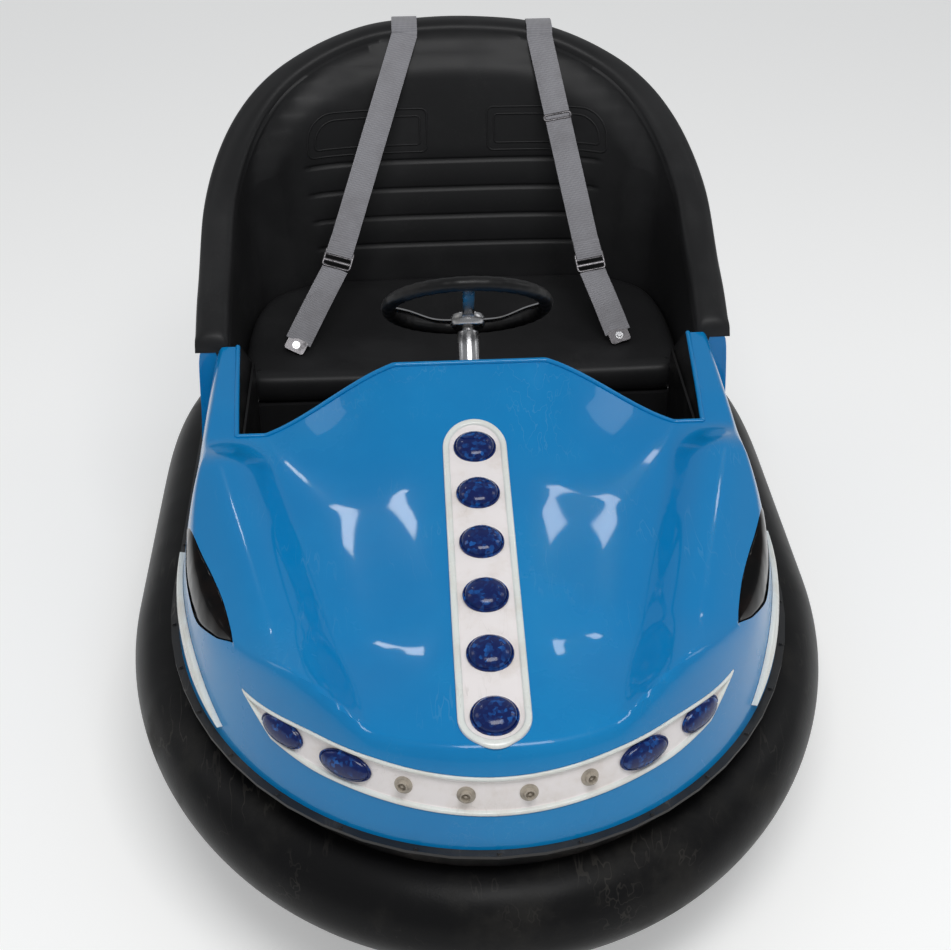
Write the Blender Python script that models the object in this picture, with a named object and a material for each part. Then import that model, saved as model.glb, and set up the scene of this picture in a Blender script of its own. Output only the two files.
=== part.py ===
"""Two-seat fairground bumper car: a moulded front body and tail on a steel ladder frame, a rubber ring all
round, a moulded seat, one steered drive wheel in front and two free wheels behind.

Metres, +Z up. The car points along -Y, its left side is at +X, and it stands on Z = 0.
Each sub-part is one named object. Pieces that move are parented to an empty on their joint's axis.
"""
import math

import bmesh
import bpy
from mathutils import Matrix, Vector
from mathutils.bvhtree import BVHTree

# ---- driving sizes -------------------------------------------------------------------------------
GAP = 0.0003                 # between pieces that touch
PIN_GAP = 0.0006             # round a turning pin

BUMPER_HALF_WIDTH = 0.588
BUMPER_FRONT_Y = -0.893
BUMPER_REAR_Y = 0.893
BUMPER_FRONT_ROUND_Y = -0.106
BUMPER_REAR_ROUND_Y = 0.250
BUMPER_DEPTH = 0.081
BUMPER_BOTTOM_Z = 0.120
BUMPER_TOP_Z = 0.276
BAND_THICK = 0.005
BAND_FLANGE_OUT = 0.013      # past the body's bottom edge
BAND_FLANGE_IN = 0.050       # inside it

BODY_HALF_WIDTH = 0.494      # at the bottom edge
BODY_FRONT_Y = -0.824
BODY_REAR_Y = 0.830
BODY_WALL = 0.006
BODY_BOTTOM_Z = 0.320
FRONT_ROUND_Y = -0.200       # where the sides start to round towards the nose
REAR_ROUND_Y = 0.300         # where they start to round towards the tail

HOOD_REAR_Y = -0.055
HOOD_TOP_Z = 0.655           # at the middle of the rear edge
HOOD_FLAT_HALF = 0.125       # flat top of the rear edge
SHOULDER_X = 0.394           # inner corner of the shoulder
SHOULDER_Z = 0.528
SILL_END_Y = 0.205
SILL_END_X = 0.408
SILL_END_Z = 0.556

RIM_HALF_WIDTH = 0.455       # middle line of the seat's rolled rim
RIM_REAR_Y = 0.790
RIM_ROUND_Y = 0.300
RIM_BAND = 0.062
SEAT_FLOOR_Z = 0.415
BACK_THICK = 0.024
BACK_EDGE_DEGREES = 30.0     # where the back panel ends on the rim's turn
CUSHION_FRONT_Y = 0.240
CUSHION_REAR_Y = 0.600
CUSHION_FRONT_Z = 0.470
CUSHION_REAR_Z = 0.492

FRAME_BOTTOM_Z = 0.105
FRAME_TOP_Z = 0.150
RAIL_X = 0.300
RAIL_WIDTH = 0.045
LINER_HALF_WIDTH = 0.388
LINER_FRONT_Y = -0.165
LINER_WALL = 0.004
LINER_TOP_Z = 0.512

DRIVE_Y = -0.470
DRIVE_RADIUS = 0.105
DRIVE_WIDTH = 0.058
PINION_Y = -0.220
BRIDGE_Z = 0.262
BRIDGE_THICK = 0.008
SPROCKET_RADIUS = 0.045
SPROCKET_Z = 0.292
CHAIN_GAP = 0.0008

REAR_WHEEL_X = 0.385
REAR_WHEEL_Y = 0.520
REAR_WHEEL_RADIUS = 0.085
REAR_WHEEL_WIDTH = 0.045
AXLE_RADIUS = 0.011

WHEEL_CENTRE = Vector((0.0, 0.036, 0.712))
COLUMN_AXIS = Vector((0.0, 0.676, 0.737)).normalized()    # from the chassis up to the driver
RIM_RADIUS = 0.132
RIM_TUBE = 0.0125
SHAFT_RADIUS = 0.0095
COLUMN_RADIUS = 0.0185

HOOD_LAMP = (0.034, 0.034, 0.016)     # half length, half width, height
FRONT_LAMP = (0.042, 0.0215, 0.014)
HOOD_LAMP_YS = (-0.201, -0.305, -0.410, -0.517, -0.627, -0.737)
FRONT_LAMP_XS = (("outer", 0.298), ("inner", 0.208))
PANEL_HALF_WIDTH = 0.051
PANEL_FRONT_Y = -0.787
PANEL_REAR_Y = -0.148
LAYER_GAP = 0.0005           # between the body and what lies on or behind it
LAYER_THICK = 0.004
TRIM_THICK = 0.009
BELT_WIDTH = 0.050
BELT_THICK = 0.0022

# ---- small helpers -------------------------------------------------------------------------------
FINISHES = {
    # name: (red, green, blue, metallic, roughness)
    "body_blue": (0.010, 0.205, 0.485, 0.0, 0.12),
    "panel_white": (0.72, 0.74, 0.70, 0.0, 0.35),
    "lamp_blue": (0.008, 0.045, 0.160, 0.0, 0.10),
    "gloss_black": (0.004, 0.004, 0.005, 0.0, 0.08),
    "moulded_black": (0.012, 0.012, 0.013, 0.0, 0.50),
    "bumper_rubber": (0.020, 0.020, 0.020, 0.0, 0.65),
    "frame_paint": (0.015, 0.015, 0.016, 0.0, 0.45),
    "bright_steel": (0.55, 0.55, 0.56, 1.0, 0.30),
    "tyre_rubber": (0.018, 0.018, 0.018, 0.0, 0.80),
    "belt_webbing": (0.200, 0.198, 0.212, 0.0, 0.75),
}


def material(name):
    """The named finish as a Principled material, made once."""
    found = bpy.data.materials.get(name)
    if found:
        return found
    made = bpy.data.materials.new(name)
    made.use_nodes = True
    shader = made.node_tree.nodes["Principled BSDF"]
    red, green, blue, metallic, roughness = FINISHES[name]
    shader.inputs["Base Color"].default_value = (red, green, blue, 1.0)
    shader.inputs["Metallic"].default_value = metallic
    shader.inputs["Roughness"].default_value = roughness
    return made


def empty(name, location, parent=None):
    """An empty that stands on a joint's axis."""
    made = bpy.data.objects.new(name, None)
    bpy.context.scene.collection.objects.link(made)
    made.location = location
    made.parent = parent
    return made


def add_object(name, bm, finish, parent=None, smooth_angle=35.0):
    """Turn a bmesh in world coordinates into a named object, kept in place under its parent."""
    bmesh.ops.recalc_face_normals(bm, faces=bm.faces)
    mesh = bpy.data.meshes.new(name)
    bm.to_mesh(mesh)
    bm.free()
    made = bpy.data.objects.new(name, mesh)
    bpy.context.scene.collection.objects.link(made)
    if finish:
        mesh.materials.append(material(finish))
    if smooth_angle:
        mesh.shade_smooth()
        mesh.set_sharp_from_angle(angle=math.radians(smooth_angle))
    if parent:
        origin = Vector(parent.location)
        up = parent.parent
        while up:
            origin += Vector(up.location)
            up = up.parent
        mesh.transform(Matrix.Translation(-origin))
        made.parent = parent
    return made


def loft(rings, closed=False):
    """A closed body through rings of equally many points; open lofts get flat ends."""
    bm = bmesh.new()
    rows = [[bm.verts.new(point) for point in ring] for ring in rings]
    pairs = list(zip(rows, rows[1:]))
    if closed:
        pairs.append((rows[-1], rows[0]))
    for one, two in pairs:
        for i in range(len(one)):
            j = (i + 1) % len(one)
            bm.faces.new((one[i], one[j], two[j], two[i]))
    if not closed:
        bm.faces.new(rows[0])
        bm.faces.new(reversed(rows[-1]))
    return bm


def box(low, high):
    """An axis-aligned box between two corners."""
    bm = bmesh.new()
    bmesh.ops.create_cube(bm, size=1.0)
    low, high = Vector(low), Vector(high)
    for vert in bm.verts:
        vert.co = [low[k] + (vert.co[k] + 0.5) * (high[k] - low[k]) for k in range(3)]
    return bm


def axis_matrix(origin, axis):
    """A frame whose Z runs along the axis."""
    turn = Vector(axis).to_track_quat("Z", "Y").to_matrix().to_4x4()
    return Matrix.Translation(Vector(origin)) @ turn


def lathe(profile, origin, axis, sides=24):
    """Turn a profile of (radius, height) about an axis. A closed profile makes a ring."""
    bm = bmesh.new()
    closed = profile[0] == profile[-1]
    points = profile[:-1] if closed else profile
    rows = []
    for radius, height in points:
        if radius < 1e-7:
            rows.append([bm.verts.new((0.0, 0.0, height))])
            continue
        rows.append([bm.verts.new((radius * math.cos(2 * math.pi * k / sides),
                                   radius * math.sin(2 * math.pi * k / sides), height))
                     for k in range(sides)])
    pairs = list(zip(rows, rows[1:]))
    if closed:
        pairs.append((rows[-1], rows[0]))
    for one, two in pairs:
        for k in range(sides):
            j = (k + 1) % sides
            if len(one) == 1 and len(two) == 1:
                continue
            if len(one) == 1:
                bm.faces.new((one[0], two[j], two[k]))
            elif len(two) == 1:
                bm.faces.new((one[k], one[j], two[0]))
            else:
                bm.faces.new((one[k], one[j], two[j], two[k]))
    bmesh.ops.transform(bm, matrix=axis_matrix(origin, axis), verts=bm.verts)
    return bm


def rod(start, end, radius, sides=16):
    """A round bar between two points."""
    start, end = Vector(start), Vector(end)
    length = (end - start).length
    return lathe([(0.0, 0.0), (radius, 0.0), (radius, length), (0.0, length)], start, end - start, sides)


def prism(outline, low, high, axes="xyz"):
    """Extrude a flat outline. axes names the two outline directions and then the extrusion's."""
    slots = ["xyz".index(letter) for letter in axes]

    def place(first, second, third):
        point = [0.0, 0.0, 0.0]
        for slot, value in zip(slots, (first, second, third)):
            point[slot] = value
        return point

    return loft([[place(a, b, low) for a, b in outline], [place(a, b, high) for a, b in outline]])


def boolean(target, operation, bm, name):
    """Add an exact Boolean with a hidden cutter."""
    cutter = add_object(name, bm, None, smooth_angle=None)
    cutter.hide_render = True
    cutter.display_type = "WIRE"
    if target.parent:
        cutter.matrix_world = Matrix.Identity(4)
    step = target.modifiers.new(name, "BOOLEAN")
    step.object = cutter
    step.operation = operation
    step.solver = "EXACT"
    return cutter


def outline_plan(half_width, front_y, rear_y, front_round_y, rear_round_y, count,
                 rear_power=2.5, inset=0.0):
    """The car's plan: a half ellipse in front, straight sides, a squarer round behind.

    Runs once round from the middle of the nose towards -X. inset moves it inwards.
    """
    fine = 720
    raw = []
    for k in range(fine):
        turn = 2 * math.pi * k / fine
        across, along = -math.sin(turn), -math.cos(turn)
        if along <= 0:
            raw.append(Vector((half_width * across, front_round_y + (front_round_y - front_y) * along)))
        else:
            power = 2.0 / rear_power
            raw.append(Vector((half_width * math.copysign(abs(across) ** power, across),
                               rear_round_y + (rear_y - rear_round_y) * along ** power)))
    run = [0.0]
    for one, two in zip(raw, raw[1:] + raw[:1]):
        run.append(run[-1] + (two - one).length)
    places = []
    k = 0
    for step in range(count):
        want = run[-1] * step / count
        while run[k + 1] < want:
            k += 1
        share = (want - run[k]) / (run[k + 1] - run[k])
        places.append(raw[k].lerp(raw[(k + 1) % fine], share))
    result = []
    for k, place in enumerate(places):
        along = (places[(k + 1) % count] - places[k - 1]).normalized()
        inward = Vector((along.y, -along.x))
        if inward.dot(place - Vector((0.0, 0.5 * (front_round_y + rear_round_y)))) > 0:
            inward = -inward
        result.append((place + inward * inset, -inward))
    return result


def smooth_step(share):
    """0 to 1 with flat ends."""
    share = min(1.0, max(0.0, share))
    return share * share * (3.0 - 2.0 * share)


# ---- front body: one surface, used for the shell and for what lies on and behind it ---------------
def valley_x(y):
    """Half width of the raised middle of the hood."""
    return 0.345 + 0.26 * (y - HOOD_REAR_Y)


def hood_height(x, y):
    """Height of the hood above the floor, before the outer edge falls away."""
    side = abs(x)
    back = HOOD_REAR_Y - y
    rise = max(0.0, 1.0 - back / 0.151)
    crown = 0.577 + 0.18 * (0.151 - back) + (HOOD_TOP_Z - 0.604) * rise ** 1.5
    valley = SHOULDER_Z - 0.125 * back + 0.028 * smooth_step((back - 0.48) / 0.20)
    edge = valley_x(y)
    if side < edge:
        flat = HOOD_FLAT_HALF / edge * max(0.0, 1.0 - back / 0.20)
        share = max(0.0, (side / edge - flat) / (1.0 - flat))
        straight = 1.0 - share
        soft = 1.0 - smooth_step(share)
        blend = 0.35 + 0.65 * min(1.0, back / 0.20)
        return valley + (crown - valley) * (straight * (1.0 - blend) + soft * blend)
    share = (side - edge) / 0.17
    fender = 0.036 * smooth_step(back / 0.12)
    return valley + fender * math.sin(math.pi * min(1.0, share)) ** 1.3


def soft_min(one, two, reach):
    """The lower of two heights, rounded where they cross."""
    near = max(reach - abs(one - two), 0.0) / reach
    return min(one, two) - near * near * reach * 0.25


RING_SHARES = (0.0, 0.14, 0.28, 0.42, 0.55, 0.66, 0.75, 0.82, 0.875, 0.915, 0.945, 0.968, 0.985, 1.0)
HOOD_SPOKES = 35
SILL_YS = (SILL_END_Y, 0.12, 0.03)


def body_line(inner, outer, outward, flat_height):
    """Points from the inner edge over the shoulder and down to the bottom edge."""
    line = []
    slope = 5.0
    for share in RING_SHARES:
        x = inner.x + (outer.x - inner.x) * share
        y = inner.y + (outer.y - inner.y) * share
        fall = (outer.x - x) * outward.x + (outer.y - y) * outward.y
        wall = BODY_BOTTOM_Z + slope * fall
        top = hood_height(x, y) if flat_height is None else flat_height
        line.append(Vector((x, y, soft_min(wall, top, 0.06))))
    return line


def front_surface():
    """The outer face of the front body as rows of points: left sill, hood, right sill."""
    rows = []
    for y in SILL_YS:
        share = (y - HOOD_REAR_Y) / (SILL_END_Y - HOOD_REAR_Y)
        inner = Vector((-(SHOULDER_X + (SILL_END_X - SHOULDER_X) * share), y))
        outer = Vector((-BODY_HALF_WIDTH, y))
        height = SHOULDER_Z + (SILL_END_Z - SHOULDER_Z) * share
        rows.append(body_line(inner, outer, Vector((-1.0, 0.0)), height + 0.004))
    straight = HOOD_REAR_Y - FRONT_ROUND_Y
    depth = FRONT_ROUND_Y - BODY_FRONT_Y
    arc = math.pi / 2 * math.sqrt((BODY_HALF_WIDTH ** 2 + depth ** 2) / 2)
    hood = []
    for k in range(HOOD_SPOKES):
        share = k / (HOOD_SPOKES - 1)
        run = (straight + arc) * 2 * share
        mirrored = run > straight + arc
        if mirrored:
            run = 2 * (straight + arc) - run
        if run <= straight:
            outer = Vector((-BODY_HALF_WIDTH, HOOD_REAR_Y - run))
            outward = Vector((-1.0, 0.0))
        else:
            turn = (run - straight) / arc * math.pi / 2
            outer = Vector((-BODY_HALF_WIDTH * math.cos(turn), FRONT_ROUND_Y - depth * math.sin(turn)))
            outward = Vector((outer.x / BODY_HALF_WIDTH ** 2, (outer.y - FRONT_ROUND_Y) / depth ** 2))
            outward.normalize()
        inner = Vector((-SHOULDER_X * math.cos(math.pi * min(share, 1.0 - share)), HOOD_REAR_Y))
        if mirrored:
            outer.x, outward.x, inner.x = -outer.x, -outward.x, -inner.x
        hood.append(body_line(inner, outer, outward, None))
    rows += hood
    for line in reversed(rows[:len(SILL_YS)]):
        rows.append([Vector((-point.x, point.y, point.z)) for point in line])
    return rows


def surface_normals(rows):
    """Outward normals at every point of the surface."""
    normals = []
    last = len(rows) - 1
    for i, line in enumerate(rows):
        row = []
        for j in range(len(line)):
            along = rows[min(i + 1, last)][j] - rows[max(i - 1, 0)][j]
            down = line[min(j + 1, len(line) - 1)] - line[max(j - 1, 0)]
            normal = along.cross(down)
            row.append(normal.normalized())
        normals.append(row)
    middle = normals[len(rows) // 2][3]
    if middle.z < 0:
        normals = [[-normal for normal in row] for row in normals]
    return normals


def surface_layer(rows, normals, near, far):
    """A closed sheet between two distances from the surface, with its rear and bottom edges kept flat."""
    bm = bmesh.new()
    sides = []
    count, width = len(rows), len(rows[0])
    for reach in (near, far):
        grid = []
        for i in range(count):
            line = []
            for j in range(width):
                place = rows[i][j] + normals[i][j] * reach
                if i in (0, count - 1):
                    place.y = SILL_END_Y
                if j == width - 1:
                    place.z = BODY_BOTTOM_Z
                line.append(bm.verts.new(place))
            grid.append(line)
        sides.append(grid)
    for side, flip in zip(sides, (False, True)):
        for i in range(count - 1):
            for j in range(width - 1):
                a, b, c, d = side[i][j], side[i + 1][j], side[i + 1][j + 1], side[i][j + 1]
                pair = ((a, b, c), (a, c, d)) if 2 * i < count - 1 else ((a, b, d), (b, c, d))
                for corners in pair:
                    bm.faces.new(reversed(corners) if flip else corners)
    border = [(i, 0) for i in range(count)] + [(count - 1, j) for j in range(1, width)]
    border += [(i, width - 1) for i in range(count - 2, -1, -1)] + [(0, j) for j in range(width - 2, 0, -1)]
    for (a, b), (c, d) in zip(border, border[1:] + border[:1]):
        bm.faces.new((sides[0][a][b], sides[0][c][d], sides[1][c][d], sides[1][a][b]))
    return bm


MOUTH_TOP_X = 0.356          # half length of the mouth's top edge, which ends in a point
MOUTH_LOW_X = 0.314          # half length of its bottom edge
MOUTH_MIDDLE_Z = 0.402
MOUTH_END_RISE = 0.012
MOUTH_HALF_HEIGHT = 0.030
MOUTH_END_NARROW = 0.012
MOUTH_NARROW_X = 0.240       # from here it narrows to its ends


def mouth_middle(x):
    """Height of the mouth's middle line."""
    return MOUTH_MIDDLE_Z + MOUTH_END_RISE * smooth_step(abs(x) / 0.30)


def mouth_half(x):
    """Half the mouth's height."""
    share = (abs(x) - MOUTH_NARROW_X) / (MOUTH_TOP_X - MOUTH_NARROW_X)
    return MOUTH_HALF_HEIGHT - MOUTH_END_NARROW * smooth_step(share)


def mouth_outline(margin):
    """The front lamp strip's opening seen from the front, in x and z."""
    outline = []
    steps = 11
    for sign, reach in ((1.0, MOUTH_TOP_X + 1.6 * margin), (-1.0, MOUTH_LOW_X + margin)):
        for k in range(-steps, steps + 1):
            x = sign * reach * k / steps
            outline.append((x, mouth_middle(x) + sign * (mouth_half(x) + margin)))
    return outline


def stadium(half_width, low_y, high_y, steps=8):
    """A rounded slot in x and y."""
    points = []
    for centre, start in ((high_y - half_width, 0.0), (low_y + half_width, math.pi)):
        for k in range(steps + 1):
            turn = start + math.pi * k / steps
            points.append((half_width * math.cos(turn), centre + half_width * math.sin(turn)))
    return points


HEADLIGHT_EDGE = (
    # x, y of the leaf seen from above, on the +X side, from the rear tip along the inner edge and back
    (0.466, -0.232), (0.449, -0.290), (0.430, -0.345), (0.408, -0.402), (0.388, -0.460), (0.373, -0.518),
    (0.368, -0.545), (0.400, -0.504), (0.433, -0.440), (0.452, -0.375), (0.464, -0.305),
)


def leaf(side, margin):
    """The headlight's outline, grown by a margin about its middle."""
    middle_x = sum(x for x, _ in HEADLIGHT_EDGE) / len(HEADLIGHT_EDGE)
    middle_y = sum(y for _, y in HEADLIGHT_EDGE) / len(HEADLIGHT_EDGE)
    outline = []
    for x, y in HEADLIGHT_EDGE:
        away = Vector((x - middle_x, y - middle_y))
        away += away.normalized() * margin
        outline.append((side * (middle_x + away.x), middle_y + away.y))
    return outline


TRIM_EDGE = (
    # y, z of the side trim line, from its rear tip along the top edge and back
    (-0.190, 0.392), (-0.280, 0.396), (-0.380, 0.390), (-0.470, 0.372), (-0.575, 0.338),
    (-0.470, 0.346), (-0.380, 0.362), (-0.280, 0.374),
)


def build_front_body():
    """Hood, fenders and sills in one moulding, with what is fixed to it."""
    rows = front_surface()
    normals = surface_normals(rows)
    behind = (-BODY_WALL - LAYER_GAP, -BODY_WALL - LAYER_GAP - LAYER_THICK)
    body = add_object("front_body", surface_layer(rows, normals, 0.0, -BODY_WALL), "body_blue")
    boolean(body, "DIFFERENCE", prism(mouth_outline(0.0), -1.0, -0.50, "xzy"), "cut_mouth")
    for side, word in ((-1, "right"), (1, "left")):
        boolean(body, "DIFFERENCE", prism(leaf(side, 0.0), 0.38, 0.60), "cut_headlight_" + word)
        back = surface_layer(rows, normals, *behind)
        lamp = add_object("headlight_" + word, back, "gloss_black")
        boolean(lamp, "INTERSECT", prism(leaf(side, 0.004), 0.36, 0.62), "keep_headlight_" + word)
        trim = add_object("side_trim_" + word, surface_layer(rows, normals, LAYER_GAP, LAYER_GAP + TRIM_THICK),
                          "panel_white")
        low, high = sorted((side * 0.25, side * 0.60))
        boolean(trim, "INTERSECT", prism(TRIM_EDGE, low, high, "yzx"), "keep_trim_" + word)
    strip = add_object("front_lamp_strip", surface_layer(rows, normals, *behind), "panel_white")
    boolean(strip, "INTERSECT", prism(mouth_outline(0.004), -1.0, -0.45, "xzy"), "keep_strip")
    on_top = LAYER_GAP + LAYER_THICK
    panel = add_object("hood_lamp_panel", surface_layer(rows, normals, LAYER_GAP, on_top), "panel_white")
    outline = stadium(PANEL_HALF_WIDTH, PANEL_FRONT_Y, PANEL_REAR_Y)
    boolean(panel, "INTERSECT", prism(outline, 0.30, 0.80), "keep_panel")
    faces, points = [], [point for line in rows for point in line]
    width = len(rows[0])
    for i in range(len(rows) - 1):
        for j in range(width - 1):
            corner = i * width + j
            faces.append((corner, corner + width, corner + width + 1, corner + 1))
    tree = BVHTree.FromPolygons(points, faces)
    for number, y in enumerate(HOOD_LAMP_YS, 1):
        place_lamp("hood_lamp_%d" % number, tree, Vector((0.0, y, 2.0)), Vector((0.0, 0.0, -1.0)), on_top,
                   HOOD_LAMP)
    for side, word in ((-1, "right"), (1, "left")):
        for label, x in FRONT_LAMP_XS:
            place_lamp("front_lamp_%s_%s" % (word, label), tree, Vector((side * x, -2.0, mouth_middle(x))),
                       Vector((0.0, 1.0, 0.0)), behind[0], FRONT_LAMP)


def place_lamp(name, tree, start, direction, lift, size):
    """A domed lens on the body's surface, square to it, with its length level."""
    spot, normal, _, _ = tree.ray_cast(start, direction)
    if normal.dot(direction) > 0:
        normal = -normal
    length, width, height = size
    level = Vector((0.0, 0.0, 1.0)).cross(normal).normalized()
    around = Matrix((level, normal.cross(level), normal)).transposed()
    proud = 0.0
    for share in (0.5, 1.0):
        for k in range(12):
            turn = 2 * math.pi * k / 12
            reach = Vector((share * length * math.cos(turn), share * width * math.sin(turn), 0.05))
            below = tree.ray_cast(spot + around @ reach, -normal)[0]
            if below:
                proud = max(proud, (below - spot).dot(normal))
    profile = [(0.0, 0.0), (0.97, 0.0), (1.0, 0.003)]
    for share in (0.35, 0.62, 0.85):
        turn = share * math.pi / 2
        profile.append((0.92 * math.cos(turn), 0.004 + (height - 0.004) * math.sin(turn)))
    profile.append((0.0, height))
    lens = lathe(profile, (0.0, 0.0, 0.0), (0.0, 0.0, 1.0), 20)
    placed = Matrix.Translation(spot + normal * (lift + proud + 2 * GAP)) @ around.to_4x4()
    bmesh.ops.transform(lens, matrix=placed @ Matrix.Diagonal((length, width, 1.0, 1.0)), verts=lens.verts)
    add_object(name, lens, "lamp_blue")


# ---- bumper --------------------------------------------------------------------------------------
def bumper_plan(inset):
    """The bumper's plan outline, moved inwards."""
    return outline_plan(BUMPER_HALF_WIDTH, BUMPER_FRONT_Y, BUMPER_REAR_Y, BUMPER_FRONT_ROUND_Y,
                        BUMPER_REAR_ROUND_Y, 72, 3.0, inset)


def build_bumper():
    """The rubber ring and the steel band that carries it and the body."""
    middle = 0.5 * (BUMPER_TOP_Z + BUMPER_BOTTOM_Z)
    half = 0.5 * (BUMPER_TOP_Z - BUMPER_BOTTOM_Z)
    section = []
    for k in range(11):
        turn = -math.pi / 2 + math.pi * k / 10
        section.append((BUMPER_DEPTH * (1.0 - math.cos(turn)), half * math.sin(turn)))
    rings = []
    for place, outward in bumper_plan(0.0):
        rings.append([Vector((*(place - outward * inset), middle + rise)) for inset, rise in section])
    add_object("bumper_ring", loft(rings, closed=True), "bumper_rubber")

    flange_top = BODY_BOTTOM_Z - GAP
    rings = []
    for place, outward in bumper_plan(BUMPER_DEPTH + GAP):
        inner = place - outward * BAND_THICK
        rings.append([Vector((*place, BUMPER_BOTTOM_Z + 0.005)), Vector((*place, flange_top - 0.002)),
                      Vector((*inner, flange_top - 0.002)), Vector((*inner, BUMPER_BOTTOM_Z + 0.005))])
    band = add_object("bumper_band", loft(rings, closed=True), "frame_paint")
    rings = []
    for place, outward in outline_plan(BODY_HALF_WIDTH, BODY_FRONT_Y, BODY_REAR_Y, FRONT_ROUND_Y,
                                       REAR_ROUND_Y, 72, 3.2):
        ring = []
        for reach, z in ((BAND_FLANGE_OUT, flange_top), (-BAND_FLANGE_IN, flange_top),
                         (-BAND_FLANGE_IN, flange_top - BAND_THICK),
                         (BAND_FLANGE_OUT, flange_top - BAND_THICK)):
            ring.append(Vector((*(place + outward * reach), z)))
        rings.append(ring)
    boolean(band, "UNION", loft(rings, closed=True), "band_flange")


# ---- frame ---------------------------------------------------------------------------------------
def build_frame():
    """A ladder frame with outriggers that reach the bumper band."""
    reach = BUMPER_HALF_WIDTH - BUMPER_DEPTH - 0.005 - 3 * GAP
    half = RAIL_WIDTH / 2
    front, rear = BUMPER_FRONT_Y, BUMPER_REAR_Y
    bars = [((-RAIL_X - half, front, FRAME_BOTTOM_Z), (-RAIL_X + half, rear, FRAME_TOP_Z))]
    cross_members = (
        # y, half length
        (-0.672, RAIL_X), (-0.190, reach - 0.004), (0.215, reach), (0.440, RAIL_X), (0.655, RAIL_X),
    )
    for y, length in cross_members:
        bars.append(((-length, y - half, FRAME_BOTTOM_Z), (length, y + half, FRAME_TOP_Z)))
    bars.append(((RAIL_X - half, front, FRAME_BOTTOM_Z), (RAIL_X + half, rear, FRAME_TOP_Z)))
    frame = add_object("chassis_frame", box(*bars[0]), "frame_paint", smooth_angle=None)
    for number, (low, high) in enumerate(bars[1:], 1):
        boolean(frame, "UNION", box(low, high), "bar_%d" % number)
    trim = bumper_plan(BUMPER_DEPTH + 0.005 + 2 * GAP)
    boolean(frame, "INTERSECT", prism([tuple(place) for place, _ in trim], 0.0, 0.4), "frame_reach")


def build_front_bridge():
    """A folded plate over the drive wheel that carries its kingpin and the pinion."""
    leg_x = RAIL_X + 0.010
    plate = BRIDGE_THICK
    low, high = FRAME_TOP_Z + GAP, BRIDGE_Z + BRIDGE_THICK
    outline = [(-leg_x, low), (-leg_x, high), (leg_x, high), (leg_x, low),
               (leg_x - plate, low), (leg_x - plate, high - plate),
               (-leg_x + plate, high - plate), (-leg_x + plate, low)]
    bridge = add_object("front_bridge", prism(outline, -0.640, -0.184, "xzy"), "frame_paint",
                        smooth_angle=None)
    for y, radius, word in ((DRIVE_Y, 0.016, "kingpin"), (PINION_Y, SHAFT_RADIUS, "pinion")):
        boolean(bridge, "DIFFERENCE", rod((0, y, 0.2), (0, y, 0.3), radius + PIN_GAP, 24), "hole_" + word)


def build_cabin():
    """Footwell liner, dash, bench base and pedal."""
    liner = add_object("footwell_liner",
                       box((-LINER_HALF_WIDTH, LINER_FRONT_Y, FRAME_TOP_Z + GAP),
                           (LINER_HALF_WIDTH, CUSHION_FRONT_Y - 0.005, LINER_TOP_Z)),
                       "moulded_black", smooth_angle=None)
    wall = LINER_WALL
    boolean(liner, "DIFFERENCE",
            box((-LINER_HALF_WIDTH + wall, LINER_FRONT_Y + wall, FRAME_TOP_Z + GAP + wall),
                (LINER_HALF_WIDTH - wall, 0.5, 0.8)), "liner_room")
    low_front = box((-0.6, LINER_FRONT_Y - 0.1, 0.300), (0.6, LINER_FRONT_Y + wall + 0.001, 0.8))
    boolean(liner, "DIFFERENCE", low_front, "liner_front")

    dash_low_z, dash_low_y = 0.3005, LINER_FRONT_Y + 0.0005
    lean = (HOOD_REAR_Y - 0.013 - dash_low_y) / (HOOD_TOP_Z - 0.012 - dash_low_z)
    rings = [[], []]
    half = LINER_HALF_WIDTH - wall - 0.001
    steps = 24
    for k in range(steps + 1):
        x = -half + 2 * half * k / steps
        z = 0.5
        for _ in range(6):
            y = dash_low_y + lean * (z - dash_low_z)
            z = hood_height(x, y) - 0.0105
        rings[0].append(Vector((x, y, z)))
        rings[1].append(Vector((x, y + 0.004, z)))
    for ring, shift in zip(rings, (0.0, 0.004)):
        ring.append(Vector((half, dash_low_y + shift, dash_low_z)))
        ring.append(Vector((-half, dash_low_y + shift, dash_low_z)))
    dash = add_object("dash_panel", loft(rings), "moulded_black", smooth_angle=None)
    boolean(dash, "DIFFERENCE",
            rod(WHEEL_CENTRE - COLUMN_AXIS * 0.40, WHEEL_CENTRE, COLUMN_RADIUS + GAP, 24), "dash_hole")

    base_x = 0.386
    outline = [(CUSHION_FRONT_Y, FRAME_TOP_Z + GAP), (CUSHION_FRONT_Y, SEAT_FLOOR_Z),
               (CUSHION_REAR_Y, SEAT_FLOOR_Z), (CUSHION_REAR_Y, SEAT_FLOOR_Z - LINER_WALL),
               (CUSHION_FRONT_Y + LINER_WALL, SEAT_FLOOR_Z - LINER_WALL),
               (CUSHION_FRONT_Y + LINER_WALL, FRAME_TOP_Z + GAP)]
    add_object("bench_base", prism(outline, -base_x, base_x, "yzx"), "moulded_black", smooth_angle=None)

    pedal = [(-0.125, FRAME_TOP_Z + wall + 2 * GAP), (-0.040, FRAME_TOP_Z + wall + 2 * GAP),
             (-0.040, 0.162), (-0.108, 0.215), (-0.125, 0.215)]
    add_object("accelerator_pedal", prism(pedal, -0.145, -0.065, "yzx"), "frame_paint", smooth_angle=None)
    add_object("battery_block", box((-0.26, 0.452, FRAME_TOP_Z + GAP), (0.26, 0.660, 0.370)),
               "moulded_black", smooth_angle=None)


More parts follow.
